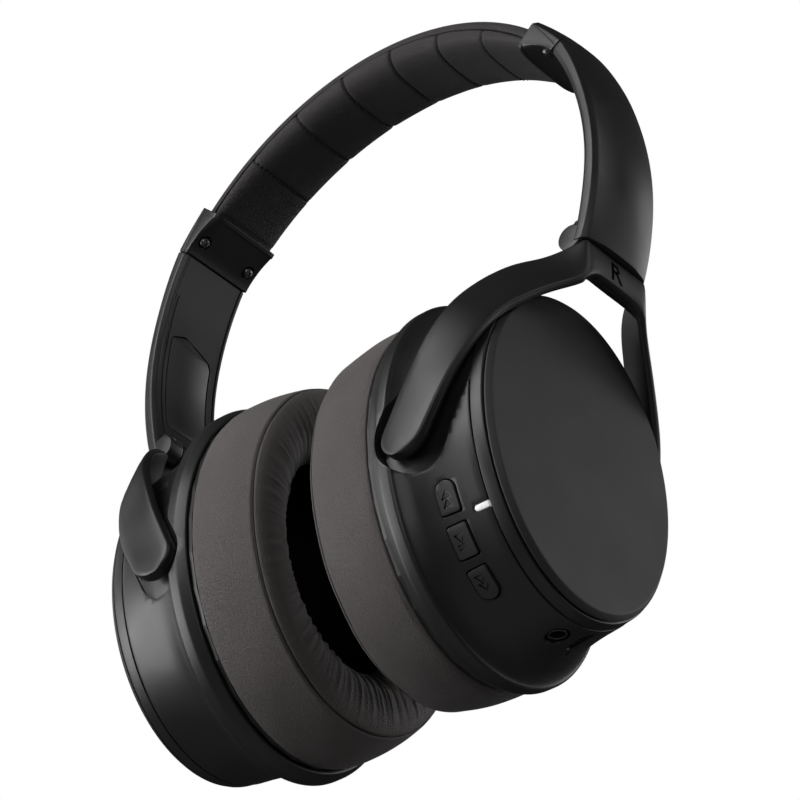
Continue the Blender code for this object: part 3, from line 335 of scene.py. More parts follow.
def copied(obj, name, place):
    copy = obj.copy()
    copy.data = obj.data.copy()
    copy.name = copy.data.name = name
    linked(copy).data.transform(place)
    return copy


def mirrored(obj, name):
    """A copy on the left-hand side with a mesh of its own."""
    start_fresh()
    copy = copied(obj, name, TO_THE_LEFT)
    copy.data.flip_normals()
    return copy


def joined(objects, name):
    only(objects[0])
    for obj in objects:
        obj.select_set(True)
    bpy.ops.object.join()
    return named(name)


# ---- finishes ----


def node(tree, kind, settings=(), **values):
    made = tree.nodes.new(kind)
    for key, value in dict(settings).items():
        setattr(made, key, value)
    for key, value in values.items():
        made.inputs[key.replace("_", " ")].default_value = value
    return made


def wire(tree, source, socket):
    tree.links.new(source, socket)


def finish(name, roughness, metallic=0.0, **sockets):
    """A new material with its shader's plain sockets set."""
    made = bpy.data.materials.new(name)
    made.use_nodes = True
    tree = made.node_tree
    shader = tree.nodes["Principled BSDF"]
    shader.inputs["Roughness"].default_value = roughness
    shader.inputs["Metallic"].default_value = metallic
    for key, value in sockets.items():
        shader.inputs[key.replace("_", " ")].default_value = value
    spot = node(tree, "ShaderNodeTexCoord").outputs["Object"]
    return made, tree, shader, spot


def texture(tree, kind, spot, settings=(), **values):
    made = node(tree, kind, settings, **values)
    wire(tree, spot, made.inputs["Vector"])
    return made


def clouded(tree, spot, **values):
    return texture(tree, "ShaderNodeTexNoise", spot, **values)


def ramp(tree, source, stops):
    made = node(tree, "ShaderNodeValToRGB")
    elements = made.color_ramp.elements
    while len(elements) < len(stops):
        elements.new(0.5)
    for element, (place, colour) in zip(elements, stops):
        element.position = place
        element.color = (*colour, 1) if len(colour) == 3 else (colour[0],) * 3 + (1,)
    wire(tree, source, made.inputs[0])
    return made.outputs[0]


def paint(tree, shader, source, stops):
    wire(tree, ramp(tree, source, stops), shader.inputs["Base Color"])


def scaled(tree, source, low, high, out_low, out_high):
    made = node(tree, "ShaderNodeMapRange", From_Min=low, From_Max=high, To_Min=out_low, To_Max=out_high)
    wire(tree, source, made.inputs["Value"])
    return made.outputs[0]


def bump(tree, shader, heights):
    """Chains (height, strength, distance) bumps into the shader."""
    normal = None
    for height, strength, distance in heights:
        made = node(tree, "ShaderNodeBump", Strength=strength, Distance=distance)
        wire(tree, height, made.inputs["Height"])
        if normal:
            wire(tree, normal, made.inputs["Normal"])
        normal = made.outputs[0]
    wire(tree, normal, shader.inputs["Normal"])


def moulded_plastic(name, dark, light, smooth, rough, grain, depth):
    """Moulded plastic: fine spark texture, faint clouds of tone and of polish from handling."""
    made, tree, shader, spot = finish(name, rough, Specular_IOR_Level=0.45)
    clouds = clouded(tree, spot, Scale=38.0, Detail=3.0)
    paint(tree, shader, clouds.outputs["Fac"], [(0.3, dark), (0.7, light)])
    polish = clouded(tree, spot, Scale=90.0, Detail=5.0)
    wire(tree, scaled(tree, polish.outputs["Fac"], 0.3, 0.7, smooth, rough), shader.inputs["Roughness"])
    spark = clouded(tree, spot, Scale=grain, Detail=2.0)
    waves = clouded(tree, spot, Scale=220.0, Detail=1.0)
    bump(tree, shader, [(spark.outputs["Fac"], depth, 0.00005), (waves.outputs["Fac"], 0.03, 0.0002)])
    return made


def leather(name, dark, light, cells, depth, roughness, sheen):
    """Leatherette: pebbled cells with creases between them, whose colour is darkened as painted shade, pores
    and slow changes of tone.
    """
    made, tree, shader, spot = finish(name, roughness, Specular_IOR_Level=0.35, Sheen_Weight=sheen,
                                      Sheen_Roughness=0.5)
    bend = clouded(tree, spot, Scale=cells * 0.7, Detail=2.0)
    mixed = node(tree, "ShaderNodeMix", {"data_type": "VECTOR"}, Factor=0.0006)
    wire(tree, spot, mixed.inputs[4])
    wire(tree, bend.outputs["Color"], mixed.inputs[5])
    pebbles = texture(tree, "ShaderNodeTexVoronoi", mixed.outputs[1],
                      {"feature": "DISTANCE_TO_EDGE"}, Scale=cells)
    crease = scaled(tree, pebbles.outputs["Distance"], 0.0, 0.16, 0.0, 1.0)
    clouds = clouded(tree, spot, Scale=45.0, Detail=4.0)
    tone = ramp(tree, clouds.outputs["Fac"], [(0.3, dark), (0.72, light)])
    # Painted shade: the base colour is darkened down to 0.45 times in the creases between the pebbles.
    painted_crease_shade = node(tree, "ShaderNodeMix", {"data_type": "RGBA", "blend_type": "MULTIPLY"}, Factor=0.6)
    wire(tree, tone, painted_crease_shade.inputs[6])
    wire(tree, ramp(tree, crease, [(0.0, (0.45,)), (0.6, (1.0,))]), painted_crease_shade.inputs[7])
    wire(tree, painted_crease_shade.outputs[2], shader.inputs["Base Color"])
    pores = clouded(tree, spot, Scale=cells * 3.0, Detail=2.0)
    wire(tree, scaled(tree, clouds.outputs["Fac"], 0.3, 0.7, roughness - 0.07, roughness + 0.07),
                   shader.inputs["Roughness"])
    bump(tree, shader, [(crease, depth, 0.00025), (pores.outputs["Fac"], depth * 0.5, 0.0001)])
    return made


def woven(name, dark, light, pitch):
    """Speaker cloth: two crossing sets of threads."""
    made, tree, shader, spot = finish(name, 0.9, Specular_IOR_Level=0.15)
    threads = []
    for axis in ("Y", "Z"):
        bands = texture(tree, "ShaderNodeTexWave", spot, {"bands_direction": axis}, Scale=0.314 / pitch,
                        Distortion=0.4, Detail=1.0)
        threads.append(bands.outputs["Fac"])
    both = node(tree, "ShaderNodeMath", {"operation": "MULTIPLY"})
    wire(tree, threads[0], both.inputs[0])
    wire(tree, threads[1], both.inputs[1])
    paint(tree, shader, both.outputs[0], [(0.0, dark), (1.0, light)])
    bump(tree, shader, [(both.outputs[0], 0.6, 0.0002)])
    return made


def metal(name, dark, light, roughness, stretch):
    """Metal with fine drawn scratches and changes of polish."""
    made, tree, shader, spot = finish(name, roughness, 1.0)
    along = node(tree, "ShaderNodeMapping", Scale=stretch)
    wire(tree, spot, along.inputs["Vector"])
    lines = clouded(tree, along.outputs[0], Scale=900.0, Detail=3.0)
    paint(tree, shader, lines.outputs["Fac"], [(0.3, dark), (0.7, light)])
    wire(tree, scaled(tree, lines.outputs["Fac"], 0.3, 0.7, roughness - 0.1, roughness + 0.1),
                   shader.inputs["Roughness"])
    bump(tree, shader, [(lines.outputs["Fac"], 0.15, 0.00005)])
    return made


def speckled(name, dark, light, scale, roughness, **sockets):
    """A plain hard finish with fine speckle, for boards, lenses and thread."""
    made, tree, shader, spot = finish(name, roughness, **sockets)
    spots = clouded(tree, spot, Scale=scale, Detail=4.0)
    paint(tree, shader, spots.outputs["Fac"], [(0.35, dark), (0.65, light)])
    bump(tree, shader, [(spots.outputs["Fac"], 0.1, 0.00005)])
    return made


SATIN = moulded_plastic("satin_black_plastic", (0.0125,) * 3, (0.0165, 0.0165, 0.0172),
                        0.33, 0.43, 5200.0, 0.12)
SOFT_TOUCH = moulded_plastic("soft_touch_plastic", (0.0210,) * 3, (0.0225, 0.0225, 0.0228),
                             0.56, 0.62, 6500.0, 0.2)
KEY_RUBBER = moulded_plastic("key_plastic", (0.018,) * 3, (0.022,) * 3, 0.42, 0.52, 6000.0, 0.15)
BAND_LEATHER = leather("headband_leatherette", (0.0150, 0.0118, 0.0115), (0.0215, 0.0172, 0.0168),
                       2000.0, 0.5, 0.55, 0.12)
PAD_LEATHER = leather("ear_pad_leatherette", (0.066, 0.0565, 0.0540), (0.092, 0.0795, 0.0760),
                      1850.0, 0.55, 0.58, 0.15)
SPEAKER_CLOTH = woven("speaker_cloth_weave", (0.001,) * 3, (0.004,) * 3, 0.0009)
STEEL = metal("plain_steel", (0.36, 0.36, 0.37), (0.50, 0.50, 0.51), 0.32, (1.0, 8.0, 1.0))
DARK_STEEL = metal("blackened_steel", (0.10, 0.10, 0.105), (0.17, 0.17, 0.175), 0.36, (1.0, 1.0, 6.0))
SOCKET_STEEL = metal("socket_steel", (0.05,) * 3, (0.09,) * 3, 0.4, (4.0, 1.0, 1.0))
THREAD = speckled("black_thread", (0.004,) * 3, (0.010,) * 3, 6000.0, 0.8)
FIBRE = speckled("pressed_fibre", (0.05, 0.04, 0.035), (0.07, 0.06, 0.05), 900.0, 0.85)
CIRCUIT = speckled("coated_circuit_board", (0.012, 0.07, 0.035), (0.02, 0.10, 0.05), 500.0, 0.45)
CELL = speckled("foil_wrapped_cell", (0.26, 0.27, 0.29), (0.33, 0.34, 0.36), 200.0, 0.45)
# The lens's emission is a painted glow: the status light glows though it is no lamp.
LENS_WITH_PAINTED_GLOW = speckled("white_light_lens_painted_glow", (0.74, 0.74, 0.74), (0.82, 0.82, 0.82), 400.0, 0.3,
                Emission_Color=(1.0, 1.0, 1.0, 1.0), Emission_Strength=0.25)
SOCKET_BLACK = speckled("socket_black", (0.003,) * 3, (0.006,) * 3, 2000.0, 0.6)


def dress(obj, surface, body):
    """Gives a finished piece its material and the body that it rides on."""
    obj.data.materials.clear()
    obj.data.materials.append(surface)
    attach(obj, body)
    return obj


def stand_in(obj, surface, *nodes):
    """A finished piece takes the place of these nodes and rides on their body."""
    dress(obj, surface, frame["nodes"][nodes[0]]["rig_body"])
    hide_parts(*nodes)
    return obj


def pair(obj, surface, word):
    """The right-hand piece and its mirror image stand in for a node on each side."""
    left = mirrored(obj, obj.name + "_left")
    obj.name = obj.name + "_right"
    for piece, letter in ((obj, "R"), (left, "L")):
        stand_in(piece, surface, word + "_" + letter)
    return obj, left


# ---- headband ----


def headband_cover():
    """Leatherette wrapped over the band, with a piped seam near each edge."""
    top, low = BAND_RADIUS, BAND_RADIUS - 2.9
    half = [
        (0.0, top, 0), (3.0, top - 0.01, 0), (6.0, top - 0.05, 0), (8.3, top - 0.12, 0.2),
        (8.65, top - 0.5, 0.1), (9.0, top - 0.2, 0.2), (9.7, top - 0.5, 0.4), (10.3, top - 1.5, 0.6),
        (10.3, low, 0.25), (9.2, low, 0.1), (9.2, top - 1.5, 0), (0.0, top - 1.5, 0),
    ]
    section = rounded(both_halves(half), 3)
    rings = [[polar(r, d, y) for y, r in section] for d in spaced(180 - BAND_SEAT_DEG, BAND_SEAT_DEG, 150)]
    obj = skin("headband_cover_leather", rings)
    stand_in(soften(obj, 40), BAND_LEATHER, "headband_cover")


CHANNEL_PITCH = 13.0
CHANNEL_DEPTH = 0.42
STITCH_PITCH = 1.25
STITCH_LIFT = 0.36          # from the thread's middle line to the bottom of the channel


def cushion_bottom(degrees):
    share = abs(degrees - 90) / (90 - BAND_END_DEG)
    return BAND_RADIUS - 9.0 + 2.8 * share * share


def cushion_section(degrees):
    """Half section of the cushion: a swollen panel, drawn in at each sewn channel."""
    share = abs(degrees - 90) / (90 - BAND_END_DEG)
    phase = (max(-45.4, min(45.4, degrees - 90)) / CHANNEL_PITCH + 0.5) % 1.0
    near = min(phase, 1 - phase) * CHANNEL_PITCH * math.radians(1) * 68.0
    fullness = (1 - math.exp(-near / 0.3)) * (0.95 + 0.05 * math.sin(math.pi * phase))
    bottom = cushion_bottom(degrees) + CHANNEL_DEPTH * (1 - fullness)
    swell = BAND_HALF_WIDTH + 0.5 * (1 - share) * (2 * fullness - 1) - 0.15 * (1 - fullness)
    shoulder = BAND_RADIUS - 2.9 - GAP
    half = [(0.0, 70.8), (8.7, 70.8), (8.7, shoulder), (swell - 0.9, shoulder + 0.02),
            (swell - 0.25, shoulder - 0.1)]
    for step in range(17):
        angle = math.radians(90 * step / 16)
        y = swell * math.cos(angle) ** 0.62 if step < 16 else 0.0
        half.append((y, shoulder - 0.45 - (shoulder - 0.45 - bottom) * math.sin(angle) ** 0.85))
    return half, near


def headband_cushion():
    rings = []
    for degrees in spaced(180 - BAND_SEAT_DEG, BAND_SEAT_DEG, 285):  # 40 a panel
        half, near = cushion_section(degrees)
        ring = []
        for y, r in half + [(-y, r) for y, r in reversed(half) if y > 0]:
            if r < 71.4:
                place = Vector((degrees * 1.2, y, 0))
                pucker = 0.09 * math.exp(-near / 1.3) * noise.noise(place * 0.9 + Vector((3, 7, 1)))
                r += 0.6 * pucker + 0.04 * noise.noise(place * 0.22)
            ring.append(polar(r, degrees, y))
        rings.append(ring)
    obj = skin("headband_cushion_leather", rings)
    stand_in(soften(obj, 60), BAND_LEATHER, "headband_cushion")
    stitches = []
    start_fresh()
    bpy.ops.mesh.primitive_uv_sphere_add(segments=8, ring_count=6, radius=0.34 * MM)
    stitch = named("stitch")
    stitch.data.transform(Matrix.Diagonal((0.8, 0.95, 0.8, 1)))
    for line in range(-3, 3):
        degrees = 90 + CHANNEL_PITCH * (line + 0.5)
        half, _ = cushion_section(degrees)
        path = [Vector((y, r)) for y, r in half[6:]]
        path = path + [Vector((-p.x, p.y)) for p in reversed(path[:-1])]
        walked, next_at = 0.0, 0.5
        for near, far in zip(path, path[1:]):
            length = (far - near).length
            while walked + length >= next_at:
                spot = near + (far - near) * ((next_at - walked) / length)
                lean = math.atan2(far.y - near.y, far.x - near.x)
                place = (Matrix.Translation(polar(spot.y - STITCH_LIFT, degrees, spot.x) * MM)
                         @ Matrix.Rotation(math.radians(90 - degrees), 4, "Y")
                         @ Matrix.Rotation(lean, 4, "X"))
                stitches.append(copied(stitch, "stitch_copy", place))
                next_at += STITCH_PITCH
            walked += length
    bpy.data.objects.remove(stitch, do_unlink=True)
    seams = joined(stitches, "headband_stitching")
    dress(soften(seams, 60), THREAD, "headband")


def band_necks():
    """Leather tucked into each end cap at the cap's mouth."""
    half = [(0.0, 74.0, 0), (7.5, 73.8, 0.5), (9.4, 72.9, 0.4), (9.4, 71.2, 0.5), (8.6, 70.2, 0.4),
            (6.0, 69.6, 0.5), (0.0, 69.5, 0)]
    section = rounded(both_halves(half), 3)
    right = skin("band_neck", [[polar(r, d, y) for y, r in section] for d in spaced(50.0, 42.4, 40)])
    left = mirrored(right, "band_neck_left")
    right.name = "band_neck_right"
    for piece, cap, turn in ((right, "end_cap_R", 1), (left, "end_cap_L", -1)):
        soften(piece, 50).data.materials.append(BAND_LEATHER)
        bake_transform(piece)


# ---- end caps and arms ----


def on_slide_arc(radius, degrees):
    """Radius about the band's centre of a place on the slider's arc."""
    angle = math.radians(degrees)
    dx, dz = SLIDE_CENTRE[0], SLIDE_CENTRE[1] - BAND_Z
    along = dx * math.cos(angle) + dz * math.sin(angle)
    return along + math.sqrt(radius * radius - (dx * dx + dz * dz - along * along))


def crown_points(half, edge, swell, count=7):
    """Points over a crowned face from its middle to its edge."""
    return [(half * i / count, edge + swell * (1 - (i / count) ** 2.2), 0) for i in range(count)]


def screw_place(y):
    """From a screw drawn along X to its place in the cap."""
    return shift(0, y, BAND_Z) @ Matrix.Rotation(-math.radians(SCREW_DEG), 4, "Y")


def screw_hole(y, head, shank):
    seat = on_slide_arc(TONGUE_IN, SCREW_DEG) - 2.3
    profile = [(seat - 14 - FLANGE_X, 0.0), (seat - 14 - FLANGE_X, head), (seat - FLANGE_X, head),
               (seat - FLANGE_X, shank), (76.0 - FLANGE_X, shank), (76.0 - FLANGE_X, 0.0)]
    obj = turned("screw_hole", profile, 1.0, 40, 0.0)
    obj.data.transform(screw_place(y))
    return obj


def end_cap_outer():
    rings = []
    rail = 6.2
    for degrees in spaced(CAP_MOUTH_DEG, CAP_FOOT_DEG, 22):
        ceiling = on_slide_arc(TONGUE_OUT, degrees) + GAP
        floor = on_slide_arc(TONGUE_IN, degrees)
        half = crown_points(CAP_HALF_WIDTH - 1.3, CAP_RADIUS, CROWN) + [
            (CAP_HALF_WIDTH - 1.3, CAP_RADIUS, 0.35), (CAP_HALF_WIDTH, CAP_RADIUS - 1.1, 0.3),
            (CAP_HALF_WIDTH, floor, 0.15), (rail, floor, 0), (rail, ceiling, 0), (0.0, ceiling, 0)]
        rings.append([polar(r, degrees, y) for y, r in rounded(both_halves(half))])
    obj = bevelled(skin("end_cap_outer_shell", rings), 0.22, 2, 60)
    cut(obj, *[screw_hole(y, 1.6, 0.9) for y in (-SCREW_OFFSET, SCREW_OFFSET)])
    pair(soften(obj), SATIN, "end_cap_outer")


def end_cap_inner():
    """The ramp from the crowned lip at the mouth down to the thin arm."""
    lip_end = CAP_MOUTH_DEG - 1.1
    thin = value_at(ARM_EDGE_IN, CAP_FOOT_DEG)
    deep = cushion_bottom(BAND_END_DEG) - 0.6
    rings = []
    for degrees in spaced(CAP_MOUTH_DEG, lip_end, 5) + spaced(lip_end - 0.12, CAP_FOOT_DEG, 26):
        run = max(0.0, (lip_end - degrees) / (lip_end - CAP_FOOT_DEG))
        left = (1 - run) ** 1.7
        step = 0.35 if degrees < lip_end - 0.05 else 0.0
        middle = thin - (thin - deep) * left + step * (1 - run)
        edge = thin - (thin - deep - 2.0) * left + step * (1 - run)
        top = on_slide_arc(TONGUE_IN, degrees) - 0.04
        half = [(0.0, top - GAP, 0), (6.0, top - GAP, 0), (6.1, top, 0), (CAP_HALF_WIDTH, top, 0.05)]
        for k in range(13):
            angle = math.radians(90 * k / 12)
            y = CAP_HALF_WIDTH * math.cos(angle) ** 0.45 if k < 12 else 0.0
            half.append((y, edge + 0.25 - (edge - middle + 0.26) * math.sin(angle) ** 0.7, 0))
        rings.append([polar(r, degrees, y) for y, r in rounded(both_halves(half))])
    obj = bevelled(skin("end_cap_inner_shell", rings), 0.18, 2, 60)
    cut(obj, *[screw_hole(y, 1.8, 0.9) for y in (-SCREW_OFFSET, SCREW_OFFSET)])
    pair(soften(obj), SATIN, "end_cap_inner")


def cap_screws():
    """Domed heads with a cross recess, sunk in their holes."""
    seat = on_slide_arc(TONGUE_IN, SCREW_DEG) - 2.3
    low = seat - 1.2
    profile = [(low - 0.35, 0.0), (low - 0.32, 0.5), (low - 0.18, 0.95), (low + 0.1, 1.3), (low + 0.45, 1.45),
               (seat, 1.45), (seat, 0.8), (76.0, 0.8), (76.0, 0.0)]
    for y, word in ((SCREW_OFFSET, "front"), (-SCREW_OFFSET, "rear")):
        obj = turned("cap_screw_" + word + "_cross", [(x - FLANGE_X, r) for x, r in profile], 1.0, 48, 0.0)
        for turn in (25, 115):
            slot = prism("slot", [(-0.85, -0.17), (0.85, -0.17), (0.85, 0.17), (-0.85, 0.17)], -1.0, 1.0,
                         shift(low - 0.55, 0, 0)
                         @ Matrix.Rotation(math.radians(turn), 4, "X") @ Matrix.Rotation(math.pi / 2, 4, "Y"))
            cut(obj, slot)
        obj.data.transform(screw_place(y))
        pair(soften(obj), DARK_STEEL, "cap_screw_" + word)


ARM_TOP_DEG = CAP_FOOT_DEG - 0.25
ARM_FOOT_DEG = math.degrees(math.asin((PARTING_Z - BAND_Z) / 72.6))


def arm_half_width(degrees):
    return 11.3 + 0.5 * (ARM_TOP_DEG - degrees) / (ARM_TOP_DEG - ARM_FOOT_DEG)


def arm_shell():
    """Outer shell of the arm: a channel with a crowned face, flat sides and bevelled inner edges."""
    rings = []
    for degrees in spaced(ARM_TOP_DEG, ARM_FOOT_DEG - 2.0, 70):
        half_width = arm_half_width(degrees)
        edge, low = value_at(ARM_EDGE_OUT, degrees), value_at(ARM_EDGE_IN, degrees)
        wall = half_width - 1.6
        half = crown_points(half_width - 1.3, edge, CROWN) + [
            (half_width - 1.3, edge, 0.35), (half_width, edge - 1.1, 0.3),
            (half_width, low + 1.1, 0.25), (half_width - 0.95, low, 0.2),
            (wall, low, 0.1), (wall, edge - 0.9, 0), (5.5, edge - 0.5, 0), (0.0, edge - 0.1, 0)]
        rings.append([polar(r, degrees, y) for y, r in rounded(both_halves(half))])
    obj = skin("arm_shell_outer", rings)
    edit(obj)
    bpy.ops.mesh.bisect(plane_co=(0, 0, PARTING_Z * MM), plane_no=(0, 0, 1), use_fill=True, clear_inner=True)
    done()
    for sign in (-1, 1):
        add(obj, rod("cheek", KNUCKLE_RADIUS, sign * 7.2, sign * 11.7, FOLD_X, FOLD_Z, 64, 0.35))
        block = [(FOLD_X - 3.3, FOLD_Z - 0.4), (FOLD_X - 3.1, FOLD_Z + 2.0), (FOLD_X + 0.6, FOLD_Z + 5.3),
                 (FOLD_X + 4.0, FOLD_Z + 5.3), (FOLD_X + 4.0, FOLD_Z - 0.4)]
        if sign < 0:
            block.reverse()
        side = prism("cheek_block", block, 7.25, 10.1, LAID_ON_Y)
        if sign > 0:
            side.data.transform(Matrix.Scale(-1, 4, (0, 1, 0)))
        add(obj, sew(side))
    cut(obj, rod("pin_hole", 1.15, -10.9, 10.9, FOLD_X, FOLD_Z, 32))
    pair(soften(bevelled(obj, 0.18, 2, 60)), SATIN, "arm_shell")


def panel_plate(name, top, foot, outside, inside, half_width, count):
    rings = []
    for degrees in spaced(top, foot, count):
        low, half = value_at(ARM_EDGE_IN, degrees), half_width(degrees)
        section = [(-half, low + outside), (half, low + outside), (half, low + inside), (-half, low + inside)]
        rings.append([polar(r, degrees, y) for y, r in section])
    return skin(name, rings)


def insert_outline(clearance, top=92.0, foot=62.0, half=7.2):
    half, top, foot = half + clearance, top + CUP_Z + clearance, foot + CUP_Z - clearance
    corners = [(-half, foot, 1.8), (half, foot, 1.8), (half, top - 4.5, 0.6), (half - 1.2, top - 2.8, 0.6),
               (-half + 4.5, top, 0.8), (-half, top - 2.0, 0.8)]
    return rounded(corners, 4)


def across_arm(outline, low=45.0, high=90.0):
    turn = Matrix(((0, 0, 1, 0), (1, 0, 0, 0), (0, 1, 0, 0), (0, 0, 0, 1)))
    return prism("outline", outline, low, high, turn)


def arm_panel():
    """Inner panel with a raised field, and the five-sided insert let into it."""
    obj = panel_plate("arm_panel_inner", ARM_TOP_DEG, ARM_FOOT_DEG + 5.6, 1.45, 0.25,
                      lambda at: arm_half_width(at) - 1.6 - GAP, 60)
    field = panel_plate("field", 26.5, ARM_FOOT_DEG + 4.0, 1.0, 0.08, lambda at: 8.9, 50)
    frame_outline = rounded([(-8.6, 58 + CUP_Z, 2.0), (8.6, 58 + CUP_Z, 2.0), (8.6, 102 + CUP_Z, 1.6),
                             (-8.6, 102 + CUP_Z, 1.6)], 5)
    add(obj, keep(field, across_arm(frame_outline)))
    recess = panel_plate("recess", 24.0, -14.0, 0.9, -2.0, lambda at: 9.0, 50)
    cut(obj, keep(recess, across_arm(insert_outline(GAP))))
    pair(soften(obj), SATIN, "arm_panel")
    insert = keep(panel_plate("arm_insert_plate", 24.0, -14.0, 0.6, 0.12, lambda at: 9.0, 50),
                  across_arm(insert_outline(0.0)))
    pair(soften(bevelled(insert, 0.12, 2, 50)), SATIN, "arm_insert")


# ---- yokes ----

# Half of the yoke from the middle of its top plate to the fork's tip, over the cup's centre:
# upper edge and lower edge of the outside face, and the thickness.
STATIONS = (
    (69.3, 0.0, 49.3, 69.5, 0.0, 41.2, 4.0),
    (69.3, 7.6, 49.3, 69.5, 7.6, 41.2, 3.8),
    (69.25, 10.6, 49.3, 69.4, 9.9, 39.2, 2.6),
    (69.2, 11.3, 49.3, 69.3, 11.2, 38.0, 2.2),
    (59.6, 14.0, 46.2, 67.3, 13.6, 36.4, 2.2),
    (56.3, 22.4, 42.2, 64.3, 19.7, 33.1, 2.0),
    (50.4, 30.7, 33.4, 59.6, 27.7, 25.6, 2.2),
    (47.2, 35.4, 26.1, 57.2, 31.9, 20.0, 2.4),
    (43.2, 37.9, 18.1, 54.1, 35.1, 12.7, 2.4),
    (39.8, 38.7, 10.7, 51.1, 37.6, 6.0, 2.6),
    (37.4, 39.2, 5.4, 48.6, 38.9, 0.0, 2.8),
    (32.7, 39.3, -4.2, 43.9, 39.2, -8.4, 3.0),
)


def eased(rows, per_span):
    """A cubic B-spline along rows of numbers that reaches both ends."""
    padded = [rows[0]] * 2 + list(rows) + [rows[-1]] * 2
    out = []
    for i in range(len(padded) - 3):
        for k in range(per_span):
            t = k / per_span
            weights = ((1 - t) ** 3 / 6, (3 * t ** 3 - 6 * t * t + 4) / 6,
                       (-3 * t ** 3 + 3 * t * t + 3 * t + 1) / 6, t ** 3 / 6)
            near = padded[i:i + 4]
            out.append([sum(w * row[n] for w, row in zip(weights, near)) for n in range(len(rows[0]))])
    return out + [list(rows[-1])]


def yoke_section(width, thickness):
    """Corners across the strap: a crowned face, eased edges and a fine parting groove in each edge."""
    half, ease = width / 2, min(0.75, width * 0.22)
    crown = 0.3 * min(1.0, width / 10)
    side = [(half - 0.2 * ease, 0.05, ease), (half, 0.52 * thickness, 0.05),
            (half - 0.14, 0.56 * thickness, 0.04), (half - 0.02, 0.6 * thickness, 0.05),
            (half - 0.15, thickness, min(0.5, ease))]
    face = [(-half * 0.55, -0.75 * crown, 0), (0.0, -crown, 0), (half * 0.55, -0.75 * crown, 0)]
    return rounded(face + side + [(-x, d, k) for x, d, k in reversed(side)])


SMOOTHING_PASSES = 26


def eased_below(rings, lows):
    """Evens out the strap's lower edge where it turns into the top plate."""
    for _ in range(SMOOTHING_PASSES):
        moved = [list(ring) for ring in rings]
        for i in range(1, len(rings) - 1):
            for j, low in enumerate(lows[i]):
                here = rings[i][j]
                if 7.0 < abs(here.y) < 26.0:
                    moved[i][j] = here + ((rings[i - 1][j] + rings[i + 1][j]) / 2 - here) * 0.6 * low
        rings = moved
    return rings


def yoke():
    """Wishbone that carries the cup, run from the rear tip over the top plate to the front tip."""
    front = [list(row) for row in STATIONS]
    rear = [[ux, -uy, uz, lx, -ly, lz, t] for ux, uy, uz, lx, ly, lz, t in reversed(front[1:])]
    rows = eased(rear + front, 7)
    edges = [(Vector(row[0:3]), Vector(row[3:6]), row[6]) for row in rows]
    drop = Vector((0, 0, CUP_Z))
    places = []
    for i, (upper, lower, thickness) in enumerate(edges):
        before = sum(edges[max(i - 1, 0)][:2], Vector()) / 2
        after = sum(edges[min(i + 1, len(edges) - 1)][:2], Vector()) / 2
        places.append(((upper + lower) / 2, (after - before).normalized(), lower - upper, thickness))
    for end in (0, -1):
        middle, travel, across, thickness = places[end]
        away = travel if end else -travel
        for k in range(1, 9):
            reach = 6.0 * math.sin(math.pi / 2 * k / 8)
            width = across * max(0.03, math.cos(math.pi / 2 * k / 8))
            extra = (middle + away * reach, travel, width, thickness)
            places.insert(0, extra) if end == 0 else places.append(extra)
    rings, lows = [], []
    for middle, travel, across, thickness in places:
        side = across.normalized()
        inward = -across.cross(travel).normalized()
        section = yoke_section(across.length, thickness)
        rings.append([middle + drop + side * x + inward * d for x, d in section])
        lows.append([max(max(0.0, 0.5 + x / across.length) ** 1.5, 0.9 * d / thickness) for x, d in section])
    obj = skin("yoke_wishbone", eased_below(rings, lows))
    add(obj, rod("barrel", KNUCKLE_RADIUS, -6.9, 6.9, FOLD_X, FOLD_Z, 64, 0.3))
    neck = [(FOLD_X - 1.5, FOLD_Z), (FOLD_X + 3.2, FOLD_Z), (FOLD_X + 4.0, FOLD_Z - 6),
            (FOLD_X + 0.6, FOLD_Z - 6)]
    add(obj, prism("neck", neck, -6.6, 6.6, LAID_ON_Y))
    for sign in (-1, 1):
        cut(obj, rod("relief", KNUCKLE_RADIUS + GAP, sign * 6.95, sign * 15, FOLD_X, FOLD_Z, 64))
    cut(obj, rod("pin_hole", 1.25, -12, 12, FOLD_X, FOLD_Z, 32))
    left = mirrored(obj, "yoke_wishbone_left")
    obj.name = "yoke_wishbone_right"
    for piece, letter, turn in ((obj, "R", 1), (left, "L", -1)):
        cut(piece, side_letter(letter, turn))
        stand_in(soften(piece), SATIN, "yoke_" + letter)


def side_letter(letter, turn):
    """The wearer's side as a letter, as a tool that sinks it into the top plate."""
    start_fresh()
    bpy.ops.object.text_add()
    obj = bpy.context.object
    obj.data.body = letter
    obj.data.size = 7.0 * MM
    obj.data.offset = 0.16 * MM
    obj.data.align_x = "CENTER"
    obj.data.align_y = "CENTER"
    obj.data.resolution_u = 6
    obj.data.extrude = 1.0 * MM
    bpy.ops.object.convert(target="MESH")
    obj = named("letter_" + letter)
    facing = Matrix(((0, 0, turn, 0), (turn, 0, 0, 0), (0, 1, 0, 0), (0, 0, 0, 1)))
    obj.data.transform(shift(turn * 69.45, -0.7, 44.6 + CUP_Z) @ facing)
    return sew(obj)


# ---- cups ----


def wall_radius(u):
    return value_at(WALL, u)


def wall_place(degrees, u, lift=0.0):
    """Frame of a place on the cup wall, by its angle below the rear: X along the cup's axis, Z outwards."""
    angle = math.radians(degrees)
    radius = wall_radius(u)
    spot = Vector((FLANGE_X + u, -ASPECT * radius * math.cos(angle), radius * math.sin(angle) + CUP_Z))
    normal = Vector((0, -math.cos(angle) / ASPECT, math.sin(angle))).normalized()
    turn = math.atan2(-normal.y, normal.z)
    return Matrix.Translation((spot + normal * lift) * MM) @ Matrix.Rotation(turn, 4, "X")


